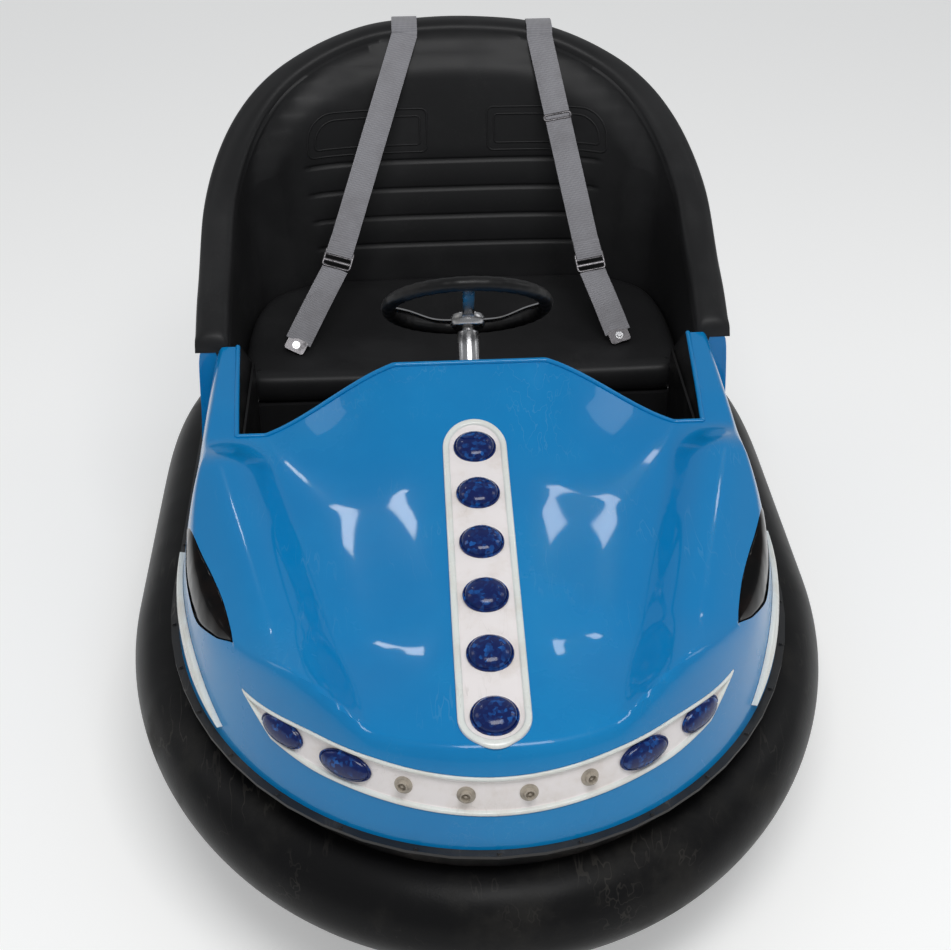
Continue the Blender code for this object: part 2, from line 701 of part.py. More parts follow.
# ---- seat ----------------------------------------------------------------------------------------
RIM_STATIONS = (
    # turn along the rim's plan in degrees (0 side, 90 middle of the back), height of its top
    (0.0, 0.630), (10.0, 0.722), (20.0, 0.768), (30.0, 0.811), (40.0, 0.850), (50.0, 0.884),
    (60.0, 0.911), (70.0, 0.937), (80.0, 0.960), (90.0, 0.970),
)
RIM_FRONT = (
    # y of the straight front of the rim, height of its top
    (0.2055, 0.576), (0.250, 0.602),
)


def rim_path():
    """Stations of the seat's rim from its front end at -X round the back to +X."""
    half = [(Vector((-RIM_HALF_WIDTH, y)), Vector((-1.0, 0.0)), height, 0.0) for y, height in RIM_FRONT]
    power = 2.0 / 3.2
    depth = RIM_REAR_Y - RIM_ROUND_Y
    for degrees, height in RIM_STATIONS:
        turn = math.radians(degrees)
        c, s = max(0.0, math.cos(turn)), math.sin(turn)
        if degrees == 90.0:
            c = 0.0
        place = Vector((-RIM_HALF_WIDTH * c ** power, RIM_ROUND_Y + depth * s ** power))
        outward = Vector((-(c ** (2.0 - power)) / RIM_HALF_WIDTH, s ** (2.0 - power) / depth)).normalized()
        half.append((place, outward, height, s))
    other = [(Vector((-p.x, p.y)), Vector((-o.x, o.y)), h, s) for p, o, h, s in reversed(half[:-1])]
    return half + other


def seat_lean(share):
    """How far the seat wall's inner face leans inwards at its foot: little at the sides, most behind."""
    return 0.012 + 0.105 * share ** 2


def build_seat():
    """The moulded seat wall with its rolled rim, and the body's tail under it."""
    band = RIM_BAND / 2
    bottom = SILL_END_Z + 0.006
    low = SEAT_FLOOR_Z + 0.0005
    rings = []
    for place, outward, height, share in rim_path():
        lean = seat_lean(share)
        section = [
            # outward from the rim's middle line, height
            (-band - lean, low),
            (-band - lean * 0.45, low + (height - low) * 0.55),
            (-band, height - 0.022),
            (-band * 0.72, height - 0.005),
            (0.0, height),
            (band * 0.72, height - 0.006),
            (band, max(bottom + 0.003, height - 0.026)),
            (band, bottom),
            (-band * 0.2, bottom),
            (-band - lean + 0.012, low),
        ]
        rings.append([Vector((*(place + outward * reach), z)) for reach, z in section])
    add_object("seat_shell", loft(rings), "moulded_black")

    path = []
    for place, outward in outline_plan(BODY_HALF_WIDTH, BODY_FRONT_Y, BODY_REAR_Y, FRONT_ROUND_Y,
                                       REAR_ROUND_Y, 96, 3.2):
        if place.y > SILL_END_Y + 0.004:
            path.append((place, outward))
    ends = [(Vector((side * BODY_HALF_WIDTH, SILL_END_Y + GAP)), Vector((side, 0.0))) for side in (-1, 1)]
    rings = []
    top = bottom - 0.0005
    for place, outward in [ends[0]] + path + [ends[1]]:
        section = [(0.0, BODY_BOTTOM_Z), (-0.007, 0.42), (-0.013, 0.53), (-0.022, top),
                   (-0.038, top), (-0.038, top - BODY_WALL), (-0.026, top - BODY_WALL),
                   (-0.019, 0.528), (-0.013, 0.42), (-0.006, BODY_BOTTOM_Z)]
        rings.append([Vector((*(place + outward * reach), z)) for reach, z in section])
    add_object("rear_body", loft(rings), "body_blue")


def build_seat_pads():
    """The back panel that lines the seat wall, and the bench cushion in front of it."""
    band = RIM_BAND / 2
    low = SEAT_FLOOR_Z + 0.0005
    least = math.sin(math.radians(BACK_EDGE_DEGREES)) - 1e-6
    rings, foot = [], []
    for place, outward, height, share in rim_path():
        lean = seat_lean(share)
        if share >= least and place.y > RIM_ROUND_Y:
            drop = height - low
            up = (0.45 * drop - 0.060) / (0.45 * drop - 0.022)
            wall = [(-band - lean, low), (-band - lean * 0.45, low + drop * 0.55),
                    (-band - lean * 0.45 * (1.0 - up), height - 0.060)]
            section = [(reach - 0.0016, z) for reach, z in wall]
            section += [(reach - 0.0016 - BACK_THICK, z) for reach, z in reversed(wall)]
            rings.append([Vector((*(place + outward * reach), z)) for reach, z in section])
        foot.append(place + outward * (-band - lean - BACK_THICK - 0.004))
    add_object("seat_back", loft(rings), "moulded_black")

    side_x = RIM_HALF_WIDTH - band - seat_lean(0.0) - 0.002
    plan = [Vector((-side_x, CUSHION_FRONT_Y))]
    plan += [place for place in foot if place.y > RIM_ROUND_Y + 0.1]
    plan.append(Vector((side_x, CUSHION_FRONT_Y)))
    rings = []
    for inset, rise in ((0.0, 0.0), (0.0, 0.8), (0.008, 1.0)):
        ring = []
        for place in plan:
            share = (place.y - CUSHION_FRONT_Y) / (CUSHION_REAR_Y - CUSHION_FRONT_Y)
            top = CUSHION_FRONT_Z + (CUSHION_REAR_Z - CUSHION_FRONT_Z) * share
            x = place.x * (1.0 - inset / side_x)
            y = place.y + (inset if place.y == CUSHION_FRONT_Y else 0.0)
            floor = SEAT_FLOOR_Z + 2 * GAP
            ring.append(Vector((x, y, floor + (top - floor) * rise)))
        rings.append(ring)
    add_object("seat_cushion", loft(rings), "moulded_black")


# ---- belts ---------------------------------------------------------------------------------------
BELTS = (
    # word, x where it crosses the seat's rim, adjuster, lower anchor
    ("right", -0.088, (-0.230, 0.450, 0.612), (-0.316, 0.330, 0.4870)),
    ("left", 0.178, (0.255, 0.450, 0.592), (0.303, 0.330, 0.4855)),
)
BELT_OVER_RIM = (
    # share of the half band outward from the rim's middle, height against the rim's top
    (1.055, -0.090), (1.055, -0.026), (0.76, -0.0035), (0.0, 0.0018), (-0.78, -0.0022), (-1.10, -0.019),
)


def rim_at(x):
    """The rim's middle line and top at a place across the seat back."""
    path = [(place, height) for place, _, height, _ in rim_path()]
    for (one, one_z), (two, two_z) in zip(path, path[1:]):
        if one.x <= x <= two.x and min(one.y, two.y) > RIM_ROUND_Y + 0.1:
            share = (x - one.x) / (two.x - one.x)
            return one.y + (two.y - one.y) * share, one_z + (two_z - one_z) * share
    raise ValueError("no rim above that place")


def flat_strip(points, width, thickness, finish, name, smooth=None):
    """A flat strip through points whose width stays level."""
    points = [Vector(point) for point in points]
    rings = []
    for k, point in enumerate(points):
        before, after = points[max(k - 1, 0)], points[min(k + 1, len(points) - 1)]
        along = (after - before).normalized()
        across = Vector((1.0, 0.0, 0.0))
        across = (across - along * across.dot(along)).normalized()
        up = along.cross(across).normalized()
        rings.append([point + across * (a * width / 2) + up * (b * thickness / 2)
                      for a, b in ((-1, -1), (1, -1), (1, 1), (-1, 1))])
    return add_object(name, loft(rings), finish, smooth_angle=smooth)


def build_belts():
    """Two shoulder belts: a strap over the seat back, its adjuster, its end and its lower anchor each."""
    for word, x, middle, low in BELTS:
        rim_y, rim_z = rim_at(x - math.copysign(BELT_WIDTH / 2, x))
        middle, low = Vector(middle), Vector(low)
        over = [Vector((x, rim_y + share * RIM_BAND / 2, rim_z + rise)) for share, rise in BELT_OVER_RIM]
        down = (middle - over[-1]).normalized()
        flat_strip(over + [middle - down * 0.018], BELT_WIDTH, BELT_THICK, "belt_webbing", "belt_" + word)
        flat_strip((middle - down * 0.0177, middle + down * 0.022), 0.058, 0.006, "bright_steel",
                   "belt_adjuster_" + word)
        tail = middle + down * 0.0223
        away = (low - tail).normalized()
        flat_strip((tail + away * 0.0048, low - away * 0.022), BELT_WIDTH, BELT_THICK, "belt_webbing",
                   "belt_end_" + word)
        flat_strip((low - away * 0.0217, low + away * 0.006), 0.040, 0.003, "bright_steel",
                   "belt_anchor_" + word)


# ---- moving pieces -------------------------------------------------------------------------------
def wheel_profile(radius, width, inner):
    """A tyre's section as (radius, height), centred on its width."""
    half = width / 2
    return [(inner, -half * 0.86), (radius * 0.90, -half), (radius * 0.975, -half * 0.80),
            (radius, -half * 0.40), (radius, half * 0.40), (radius * 0.975, half * 0.80),
            (radius * 0.90, half), (inner, half * 0.86), (inner, -half * 0.86)]


def build_steering():
    """The steering wheel with its shaft, the pinion, the fixed column and the chain."""
    turn = empty("steering_wheel_axis", WHEEL_CENTRE)
    section = []
    for k in range(8):
        angle = 2 * math.pi * k / 8
        section.append((RIM_RADIUS + RIM_TUBE * math.cos(angle), RIM_TUBE * math.sin(angle)))
    section.append(section[0])
    add_object("wheel_rim", lathe(section, WHEEL_CENTRE, COLUMN_AXIS, 40), "moulded_black", turn, 60)
    hub = WHEEL_CENTRE - COLUMN_AXIS * 0.027
    spokes = add_object("wheel_spokes", lathe([(0.0, -0.010), (0.026, -0.010), (0.030, 0.004),
                                               (0.020, 0.012), (0.0, 0.013)], hub, COLUMN_AXIS, 24),
                        "bright_steel", turn, 40)
    reach = RIM_RADIUS - RIM_TUBE - 4 * GAP
    frame = axis_matrix(WHEEL_CENTRE, COLUMN_AXIS)
    spoke_ways = (Vector((1.0, 0.0, 0.0)), Vector((-1.0, 0.0, 0.0)), Vector((0.0, COLUMN_AXIS.z, -COLUMN_AXIS.y)))
    for number, way in enumerate(spoke_ways):
        out = (frame.to_3x3().inverted() @ way).normalized()
        wide = Vector((-out.y, out.x, 0.0))
        rings = []
        for radius, rise, half in ((0.012, -0.025, 0.013), (0.060, -0.022, 0.012),
                                   (reach - 0.02, -0.004, 0.011), (reach, 0.0, 0.011)):
            centre = out * radius + Vector((0.0, 0.0, rise))
            rings.append([frame @ (centre + wide * (a * half) + Vector((0.0, 0.0, b * 0.0022)))
                          for a, b in ((-1, -1), (1, -1), (1, 1), (-1, 1))])
        boolean(spokes, "UNION", loft(rings), "spoke_%d" % number)
    joint_height = (WHEEL_CENTRE.y - PINION_Y) / COLUMN_AXIS.y
    shaft_end = WHEEL_CENTRE - COLUMN_AXIS * (joint_height - 0.032)
    start = hub - COLUMN_AXIS * (0.010 + GAP)
    add_object("steering_shaft", rod(start, shaft_end, SHAFT_RADIUS, 16), "bright_steel", turn)

    tube = [(SHAFT_RADIUS + PIN_GAP, 0.0), (COLUMN_RADIUS, 0.0), (COLUMN_RADIUS, 0.155),
            (SHAFT_RADIUS + PIN_GAP, 0.155), (SHAFT_RADIUS + PIN_GAP, 0.0)]
    add_object("column_tube", lathe(tube, WHEEL_CENTRE - COLUMN_AXIS * 0.200, COLUMN_AXIS, 24),
               "bright_steel")

    pinion = empty("pinion_axis", (0.0, PINION_Y, SPROCKET_Z))
    joint_z = WHEEL_CENTRE.z - COLUMN_AXIS.z * joint_height
    radius = SHAFT_RADIUS
    profile = [(0.0, BRIDGE_Z - 0.006), (radius, BRIDGE_Z - 0.006), (radius, SPROCKET_Z),
               (SPROCKET_RADIUS, SPROCKET_Z), (SPROCKET_RADIUS, SPROCKET_Z + 0.008),
               (radius, SPROCKET_Z + 0.008), (radius, joint_z - 0.024), (0.0, joint_z - 0.024)]
    add_object("pinion_shaft", lathe(profile, (0.0, PINION_Y, 0.0), (0, 0, 1), 24), "bright_steel", pinion)
    inside = SPROCKET_RADIUS + CHAIN_GAP
    rings = []
    steps = 12
    for centre, start_turn in ((PINION_Y, 0.0), (DRIVE_Y, math.pi)):
        for k in range(steps + 1):
            angle = start_turn + math.pi * k / steps
            direction = Vector((math.cos(angle), math.sin(angle)))
            middle = Vector((0.0, centre))
            rings.append([Vector((*(middle + direction * (inside + across)), SPROCKET_Z + rise))
                          for across, rise in ((0.0, 0.0), (0.006, 0.0), (0.006, 0.008), (0.0, 0.008))])
    add_object("steering_chain", loft(rings, closed=True), "bright_steel", smooth_angle=None)


def build_drive():
    """The steered drive unit: fork with kingpin and sprocket, motor, tyre and hub."""
    unit = empty("drive_axis", (0.0, DRIVE_Y, 0.0))
    fork_top = BRIDGE_Z - 0.008
    leg_x = DRIVE_WIDTH / 2 + 0.014
    plate = 0.008
    outline = [(-leg_x - plate, 0.080), (-leg_x - plate, fork_top), (leg_x + plate, fork_top),
               (leg_x + plate, 0.080), (leg_x, 0.080), (leg_x, fork_top - plate),
               (-leg_x, fork_top - plate), (-leg_x, 0.080)]
    fork = add_object("drive_fork", prism(outline, DRIVE_Y - 0.035, DRIVE_Y + 0.035, "xzy"),
                      "frame_paint", unit, None)
    pin = [(0.0, fork_top - 0.004), (0.016, fork_top - 0.004), (0.016, SPROCKET_Z),
           (SPROCKET_RADIUS, SPROCKET_Z), (SPROCKET_RADIUS, SPROCKET_Z + 0.008),
           (0.016, SPROCKET_Z + 0.008), (0.016, SPROCKET_Z + 0.016), (0.0, SPROCKET_Z + 0.016)]
    boolean(fork, "UNION", lathe(pin, (0.0, DRIVE_Y, 0.0), (0, 0, 1), 24), "kingpin")
    for number, side in enumerate((-1, 1)):
        boolean(fork, "DIFFERENCE",
                rod((side * (leg_x - 0.01), DRIVE_Y, DRIVE_RADIUS),
                    (side * (leg_x + 0.03), DRIVE_Y, DRIVE_RADIUS), AXLE_RADIUS + PIN_GAP, 20),
                "axle_hole_%d" % number)
    side = leg_x + plate + GAP
    motor = [(0.0, side), (0.030, side), (0.030, side + 0.012), (0.056, side + 0.012),
             (0.060, side + 0.018), (0.060, side + 0.105), (0.054, side + 0.112), (0.0, side + 0.112)]
    add_object("drive_motor", lathe(motor, (0.0, DRIVE_Y, 0.175), (1, 0, 0), 28), "frame_paint", unit)
    roll = empty("drive_wheel_axis", (0.0, 0.0, DRIVE_RADIUS), unit)
    hub_radius = 0.062
    add_object("drive_tyre",
               lathe(wheel_profile(DRIVE_RADIUS, DRIVE_WIDTH, hub_radius + GAP),
                     (0.0, DRIVE_Y, DRIVE_RADIUS), (1, 0, 0), 36), "tyre_rubber", roll)
    half = DRIVE_WIDTH / 2
    end = leg_x + plate
    hub = [(0.0, -end), (AXLE_RADIUS, -end), (AXLE_RADIUS, -half * 0.7), (0.050, -half * 0.5),
           (hub_radius, -half * 0.8), (hub_radius, half * 0.8), (0.050, half * 0.5),
           (AXLE_RADIUS, half * 0.7), (AXLE_RADIUS, end), (0.0, end)]
    add_object("drive_hub", lathe(hub, (0.0, DRIVE_Y, DRIVE_RADIUS), (1, 0, 0), 36), "bright_steel", roll)


def build_rear_wheels():
    """The dead rear axle in its two brackets, and the free wheels on its ends."""
    hub_radius = 0.045
    half = REAR_WHEEL_WIDTH / 2
    axle = add_object("rear_axle",
                      rod((-REAR_WHEEL_X - half, REAR_WHEEL_Y, REAR_WHEEL_RADIUS),
                          (REAR_WHEEL_X + half, REAR_WHEEL_Y, REAR_WHEEL_RADIUS), AXLE_RADIUS, 20),
                      "frame_paint")
    bracket_x = RAIL_X
    for side, word in ((-1, "right"), (1, "left")):
        outline = [(REAR_WHEEL_Y - 0.030, FRAME_BOTTOM_Z - GAP), (REAR_WHEEL_Y + 0.030, FRAME_BOTTOM_Z - GAP),
                   (REAR_WHEEL_Y + 0.018, REAR_WHEEL_RADIUS - 0.018),
                   (REAR_WHEEL_Y - 0.018, REAR_WHEEL_RADIUS - 0.018)]
        boolean(axle, "UNION", prism(outline, side * bracket_x - 0.006, side * bracket_x + 0.006, "yzx"),
                "axle_bracket_" + word)
        centre = Vector((side * REAR_WHEEL_X, REAR_WHEEL_Y, REAR_WHEEL_RADIUS))
        roll = empty("rear_wheel_axis_" + word, centre)
        add_object("rear_tyre_" + word,
                   lathe(wheel_profile(REAR_WHEEL_RADIUS, REAR_WHEEL_WIDTH, hub_radius + GAP),
                         centre, (1, 0, 0), 32), "tyre_rubber", roll)
        bore = AXLE_RADIUS + PIN_GAP
        hub = [(bore, -half), (0.022, -half), (0.024, -half * 0.5), (hub_radius, -half * 0.8),
               (hub_radius, half * 0.8), (0.024, half * 0.5), (0.022, half), (bore, half), (bore, -half)]
        add_object("rear_hub_" + word, lathe(hub, centre, (1, 0, 0), 32), "bright_steel", roll)


def main():
    """Clear the scene and build every sub-part."""
    for old in list(bpy.data.objects):
        bpy.data.objects.remove(old, do_unlink=True)
    build_frame()
    build_front_bridge()
    build_bumper()
    build_front_body()
    build_cabin()
    build_seat()
    build_seat_pads()
    build_belts()
    build_steering()
    build_drive()
    build_rear_wheels()


main()
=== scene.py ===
"""Looks of a two-seat fairground bumper car: finishes, refined mouldings, lamps, seat, belts and small parts.

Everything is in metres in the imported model's own frame: the car points along -Y, its left side is at +X and
it stands on Z = 0.
"""
import logging
import math
from dataclasses import dataclass, field
from enum import Enum
from typing import Callable, Iterable, Sequence

import bmesh
import bpy
import numpy as np
from mathutils import Matrix, Vector
from mathutils.bvhtree import BVHTree
from mathutils.interpolate import poly_3d_calc


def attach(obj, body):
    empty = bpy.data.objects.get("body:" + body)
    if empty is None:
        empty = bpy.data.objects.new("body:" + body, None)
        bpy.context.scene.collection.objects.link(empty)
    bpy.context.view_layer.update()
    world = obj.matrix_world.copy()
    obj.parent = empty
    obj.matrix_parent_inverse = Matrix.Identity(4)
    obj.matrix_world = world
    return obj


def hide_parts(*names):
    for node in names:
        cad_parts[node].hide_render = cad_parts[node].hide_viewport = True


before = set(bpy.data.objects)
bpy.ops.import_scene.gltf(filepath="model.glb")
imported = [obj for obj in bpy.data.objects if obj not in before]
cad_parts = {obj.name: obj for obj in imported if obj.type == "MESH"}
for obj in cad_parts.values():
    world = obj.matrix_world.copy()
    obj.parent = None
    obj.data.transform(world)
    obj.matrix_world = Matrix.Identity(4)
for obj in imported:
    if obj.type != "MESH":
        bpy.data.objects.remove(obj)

log = logging.getLogger("bumper_car")
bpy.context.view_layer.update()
UP = Vector((0.0, 0.0, 1.0))
Point2 = tuple[float, float]
Making = bmesh.types.BMesh      # a mesh in the making
Piece = bpy.types.Object


# ---- small tools ---------------------------------------------------------------------------------
def linear(red: int, green: int, blue: int) -> tuple[float, float, float]:
    """A screen colour as the shader's linear numbers.

    Args:
        red, green, blue: the colour's parts, 0 to 255.
    Returns:
        The three linear parts.
    """
    parts = (value / 255 for value in (red, green, blue))
    return tuple(p / 12.92 if p <= 0.04045 else ((p + 0.055) / 1.055) ** 2.4 for p in parts)


def smooth_step(share: float) -> float:
    """0 to 1 with flat ends."""
    share = min(1.0, max(0.0, share))
    return share * share * (3.0 - 2.0 * share)


def through(points: Sequence[Sequence[float]], count: int) -> list[Vector]:
    """Even steps along a smooth curve through a few points.

    Args:
        points: the points that the curve passes.
        count: how many points to return.
    Returns:
        Points at even distances, first and last kept.
    """
    points = [Vector(point) for point in points]
    fine = []
    for k in range(len(points) - 1):
        before, start = points[max(k - 1, 0)], points[k]
        end, after = points[k + 1], points[min(k + 2, len(points) - 1)]
        for step in range(24):
            t = step / 24
            fine.append(0.5 * (2 * start + (end - before) * t
                               + (2 * before - 5 * start + 4 * end - after) * t ** 2
                               + (3 * start - before - 3 * end + after) * t ** 3))
    fine.append(points[-1])
    run = np.concatenate([[0.0], np.cumsum([(b - a).length for a, b in zip(fine, fine[1:])])])
    table = np.array([list(point) for point in fine])
    want = np.linspace(0.0, run[-1], count)
    columns = [np.interp(want, run, table[:, axis]) for axis in range(table.shape[1])]
    return [Vector(row) for row in zip(*columns)]


def running_length(path: Sequence[Vector]) -> list[float]:
    """The distance along a path at each of its points."""
    run = [0.0]
    for one, two in zip(path, path[1:]):
        run.append(run[-1] + (two - one).length)
    return run


def loft(rings: Sequence[Sequence[Vector]], closed: bool = False, caps: bool = True) -> Making:
    """A skin through rings of equally many points.

    Args:
        rings: the rings, each in the same order.
        closed: joins the last ring to the first.
        caps: closes the two ends of an open loft.
    Returns:
        The mesh in the making.
    """
    bm = bmesh.new()
    rows = [[bm.verts.new(point) for point in ring] for ring in rings]
    pairs = list(zip(rows, rows[1:])) + ([(rows[-1], rows[0])] if closed else [])
    for one, two in pairs:
        for i in range(len(one)):
            j = (i + 1) % len(one)
            bm.faces.new((one[i], one[j], two[j], two[i]))
    if caps and not closed:
        bm.faces.new(rows[0])
        bm.faces.new(reversed(rows[-1]))
    return bm


def axis_matrix(origin: Sequence[float], axis: Sequence[float]) -> Matrix:
    """A frame at a point whose Z runs along an axis."""
    turn = Vector(axis).to_track_quat("Z", "Y").to_matrix().to_4x4()
    return Matrix.Translation(Vector(origin)) @ turn


def lathe(profile: Sequence[Point2], place: Matrix, sides: int = 48,
          swell: Callable[[float, float, float], Point2] | None = None) -> Making:
    """Turn a profile about the Z axis of a place.

    Args:
        profile: radius and height of each point; equal ends make a ring.
        place: the matrix that puts the turned shape on the car.
        sides: steps round the axis.
        swell: changes a point's radius and height from its angle, radius and height.
    Returns:
        The mesh in the making.
    """
    closed = profile[0] == profile[-1]
    rings = []
    for k in range(sides):
        turn = 2 * math.pi * k / sides
        ring = []
        for radius, height in (profile[:-1] if closed else profile):
            if swell:
                radius, height = swell(turn, radius, height)
            ring.append(place @ Vector((radius * math.cos(turn), radius * math.sin(turn), height)))
        rings.append(ring)
    bm = bmesh.new()
    rows = [[bm.verts.new(point) for point in ring] for ring in rings]
    width = len(rows[0])
    for one, two in zip(rows, rows[1:] + rows[:1]):
        for i in range(width if closed else width - 1):
            j = (i + 1) % width
            bm.faces.new((one[i], one[j], two[j], two[i]))
    return bm


def sweep(path: Sequence[Vector], section: Sequence[Point2], ups: Sequence[Vector] | Vector,
          closed: bool = False, taper: Callable[[float], float] | None = None) -> Making:
    """Carry a section along a path.

    Args:
        path: the path's points.
        section: sideways and upward distances of the section's points.
        ups: the section's upward direction, one for all or one a point.
        closed: joins the path's ends.
        taper: the section's size at a share of the path.
    Returns:
        The mesh in the making.
    """
    rings = []
    last = len(path) - 1
    for k, point in enumerate(path):
        before = path[k - 1] if closed or k else point
        after = path[(k + 1) % len(path)] if closed or k < last else point
        along = (after - before).normalized()
        up = ups if isinstance(ups, Vector) else ups[k]
        across = along.cross(up).normalized()
        up = across.cross(along).normalized()
        size = taper(k / last) if taper else 1.0
        rings.append([point + across * (a * size) + up * (b * size) for a, b in section])
    return loft(rings, closed)


def round_section(width: float, height: float, steps: int = 12, power: float = 1.0) -> list[Point2]:
    """An ellipse's points, squarer for a power under 1."""
    points = []
    for k in range(steps):
        turn = 2 * math.pi * k / steps
        c, s = math.cos(turn), math.sin(turn)
        points.append((0.5 * width * math.copysign(abs(c) ** power, c),
                       0.5 * height * math.copysign(abs(s) ** power, s)))
    return points


def rounded(half_x: float, half_y: float, round_x: float, round_y: float, steps: int) -> list[Point2]:
    """A rectangle's corner middles with a quarter ellipse round each, anticlockwise from +X +Y."""
    points = []
    for quarter, (sx, sy) in enumerate(((1, 1), (-1, 1), (-1, -1), (1, -1))):
        for k in range(steps + 1):
            turn = math.pi / 2 * (quarter + k / steps)
            points.append((sx * half_x + round_x * math.cos(turn), sy * half_y + round_y * math.sin(turn)))
    return points


def make_piece(name: str, bm: Making, material: bpy.types.Material,
               sharp_degrees: float = 40.0, merge: float = 1e-5) -> Piece:
    """Turn a mesh in the making into an object with its faces outwards.

    Args:
        name: the piece's name.
        bm: the mesh, in the car's frame; it is freed.
        material: its finish.
        sharp_degrees: edges over this angle stay sharp.
        merge: points nearer than this are joined.
    Returns:
        The new object.
    """
    bmesh.ops.remove_doubles(bm, verts=bm.verts, dist=merge)
    bmesh.ops.dissolve_degenerate(bm, edges=bm.edges, dist=1e-6)
    bmesh.ops.recalc_face_normals(bm, faces=bm.faces)
    mesh = bpy.data.meshes.new(name)
    bm.to_mesh(mesh)
    bm.free()
    mesh.materials.append(material)
    mesh.shade_smooth()
    mesh.set_sharp_from_angle(angle=math.radians(sharp_degrees))
    piece = bpy.data.objects.new(name, mesh)
    bpy.context.scene.collection.objects.link(piece)
    return piece


def settle(piece: Piece) -> Piece:
    """Make a piece's live modifiers part of its mesh."""
    bpy.context.view_layer.update()
    graph = bpy.context.evaluated_depsgraph_get()
    mesh = bpy.data.meshes.new_from_object(piece.evaluated_get(graph))
    piece.modifiers.clear()
    old, piece.data = piece.data, mesh
    bpy.data.meshes.remove(old)
    return piece


def cut(piece: Piece, operation: str, cutters: Iterable[Making]) -> Piece:
    """Cut a piece with closed shapes, one after another."""
    for number, bm in enumerate(cutters):
        bmesh.ops.recalc_face_normals(bm, faces=bm.faces)
        mesh = bpy.data.meshes.new("cutter_%d" % number)
        bm.to_mesh(mesh)
        bm.free()
        cutter = bpy.data.objects.new(mesh.name, mesh)
        bpy.context.scene.collection.objects.link(cutter)
        step = piece.modifiers.new(cutter.name, "BOOLEAN")
        step.object, step.operation, step.solver = cutter, operation, "EXACT"
        settle(piece)
        bpy.data.objects.remove(cutter)
        bpy.data.meshes.remove(mesh)
    return piece


def add_to(bm: Making, part: Making) -> None:
    """Add a part to a mesh in the making and free the part."""
    mesh = bpy.data.meshes.new("part")
    part.to_mesh(mesh)
    part.free()
    bm.from_mesh(mesh)
    bpy.data.meshes.remove(mesh)


def prism(outline: Sequence[Point2], low: float, high: float, axes: str = "xyz") -> Making:
    """Extrude an outline; axes names its two directions and then the extrusion's."""
    slots = ["xyz".index(letter) for letter in axes]

    def place(*values: float) -> Vector:
        """The point with its values in their axes."""
        point = Vector((0.0, 0.0, 0.0))
        for slot, value in zip(slots, values):
            point[slot] = value
        return point

    return loft([[place(a, b, low) for a, b in outline], [place(a, b, high) for a, b in outline]])


def hand_over(piece: Piece, body: str, slot: str, *nodes: str) -> Piece:
    """Fix a finished piece to its body and say what it stands for."""
    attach(piece, body)
    if nodes:
        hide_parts(*nodes)
    log.info("%s rides on %s, finish %s, for %s", piece.name, body, slot, ", ".join(nodes) or "itself")
    return piece


# ---- finishes ------------------------------------------------------------------------------------
class Wiring:
    """Adds nodes to one tree and links them."""

    def __init__(self, tree: bpy.types.NodeTree) -> None:
        """Keep the tree that the nodes go into."""
        self.tree = tree

    def node(self, kind: str, inputs: dict | None = None, **settings: object) -> bpy.types.Node:
        """Add a node.

        Args:
            kind: the node's type name.
            inputs: values or output sockets for its inputs, by name or number.
            settings: the node's own properties.
        Returns:
            The node.
        """
        made = self.tree.nodes.new(kind)
        for name, value in settings.items():
            setattr(made, name, value)
        for name, value in (inputs or {}).items():
            if isinstance(value, bpy.types.NodeSocket):
                self.tree.links.new(value, made.inputs[name])
            else:
                made.inputs[name].default_value = value
        return made

    def math(self, operation: str, *values: object) -> bpy.types.Node:
        """Add a maths node for an operation on numbers or sockets."""
        return self.node("ShaderNodeMath", dict(enumerate(values)), operation=operation)

    def blend(self, share: object, one: object, two: object) -> bpy.types.NodeSocket:
        """Mix two colours by a share and return the colour."""
        made = self.node("ShaderNodeMix", data_type="RGBA")
        for place, value in ((0, share), (6, one), (7, two)):
            if isinstance(value, bpy.types.NodeSocket):
                self.tree.links.new(value, made.inputs[place])
            elif place == 0:
                made.inputs[place].default_value = value
            else:
                made.inputs[place].default_value = (*value, 1.0)
        return made.outputs[2]

    def spread(self, value: object, low: float, high: float, to_low: float, to_high: float) -> object:
        """Map one span of values to another, softly at both ends."""
        made = self.node("ShaderNodeMapRange", {0: value, 1: low, 2: high, 3: to_low, 4: to_high},
                         interpolation_type="SMOOTHSTEP")
        return made.outputs[0]


def new_group(name: str, inputs: dict[str, object], outputs: Sequence[str]) -> tuple:
    """A shader node group with named sockets.

    Args:
        name: the group's name.
        inputs: each input's default value, a number or "vector".
        outputs: the names of its outputs, all numbers.
    Returns:
        The group, its wiring, its input node and its output node.
    """
    group = bpy.data.node_groups.new(name, "ShaderNodeTree")
    for label, value in inputs.items():
        kind = "NodeSocketVector" if value == "vector" else "NodeSocketFloat"
        socket = group.interface.new_socket(label, in_out="INPUT", socket_type=kind)
        if value != "vector":
            socket.default_value = value
    for label in outputs:
        group.interface.new_socket(label, in_out="OUTPUT", socket_type="NodeSocketFloat")
    wiring = Wiring(group)
    return group, wiring, wiring.node("NodeGroupInput"), wiring.node("NodeGroupOutput")


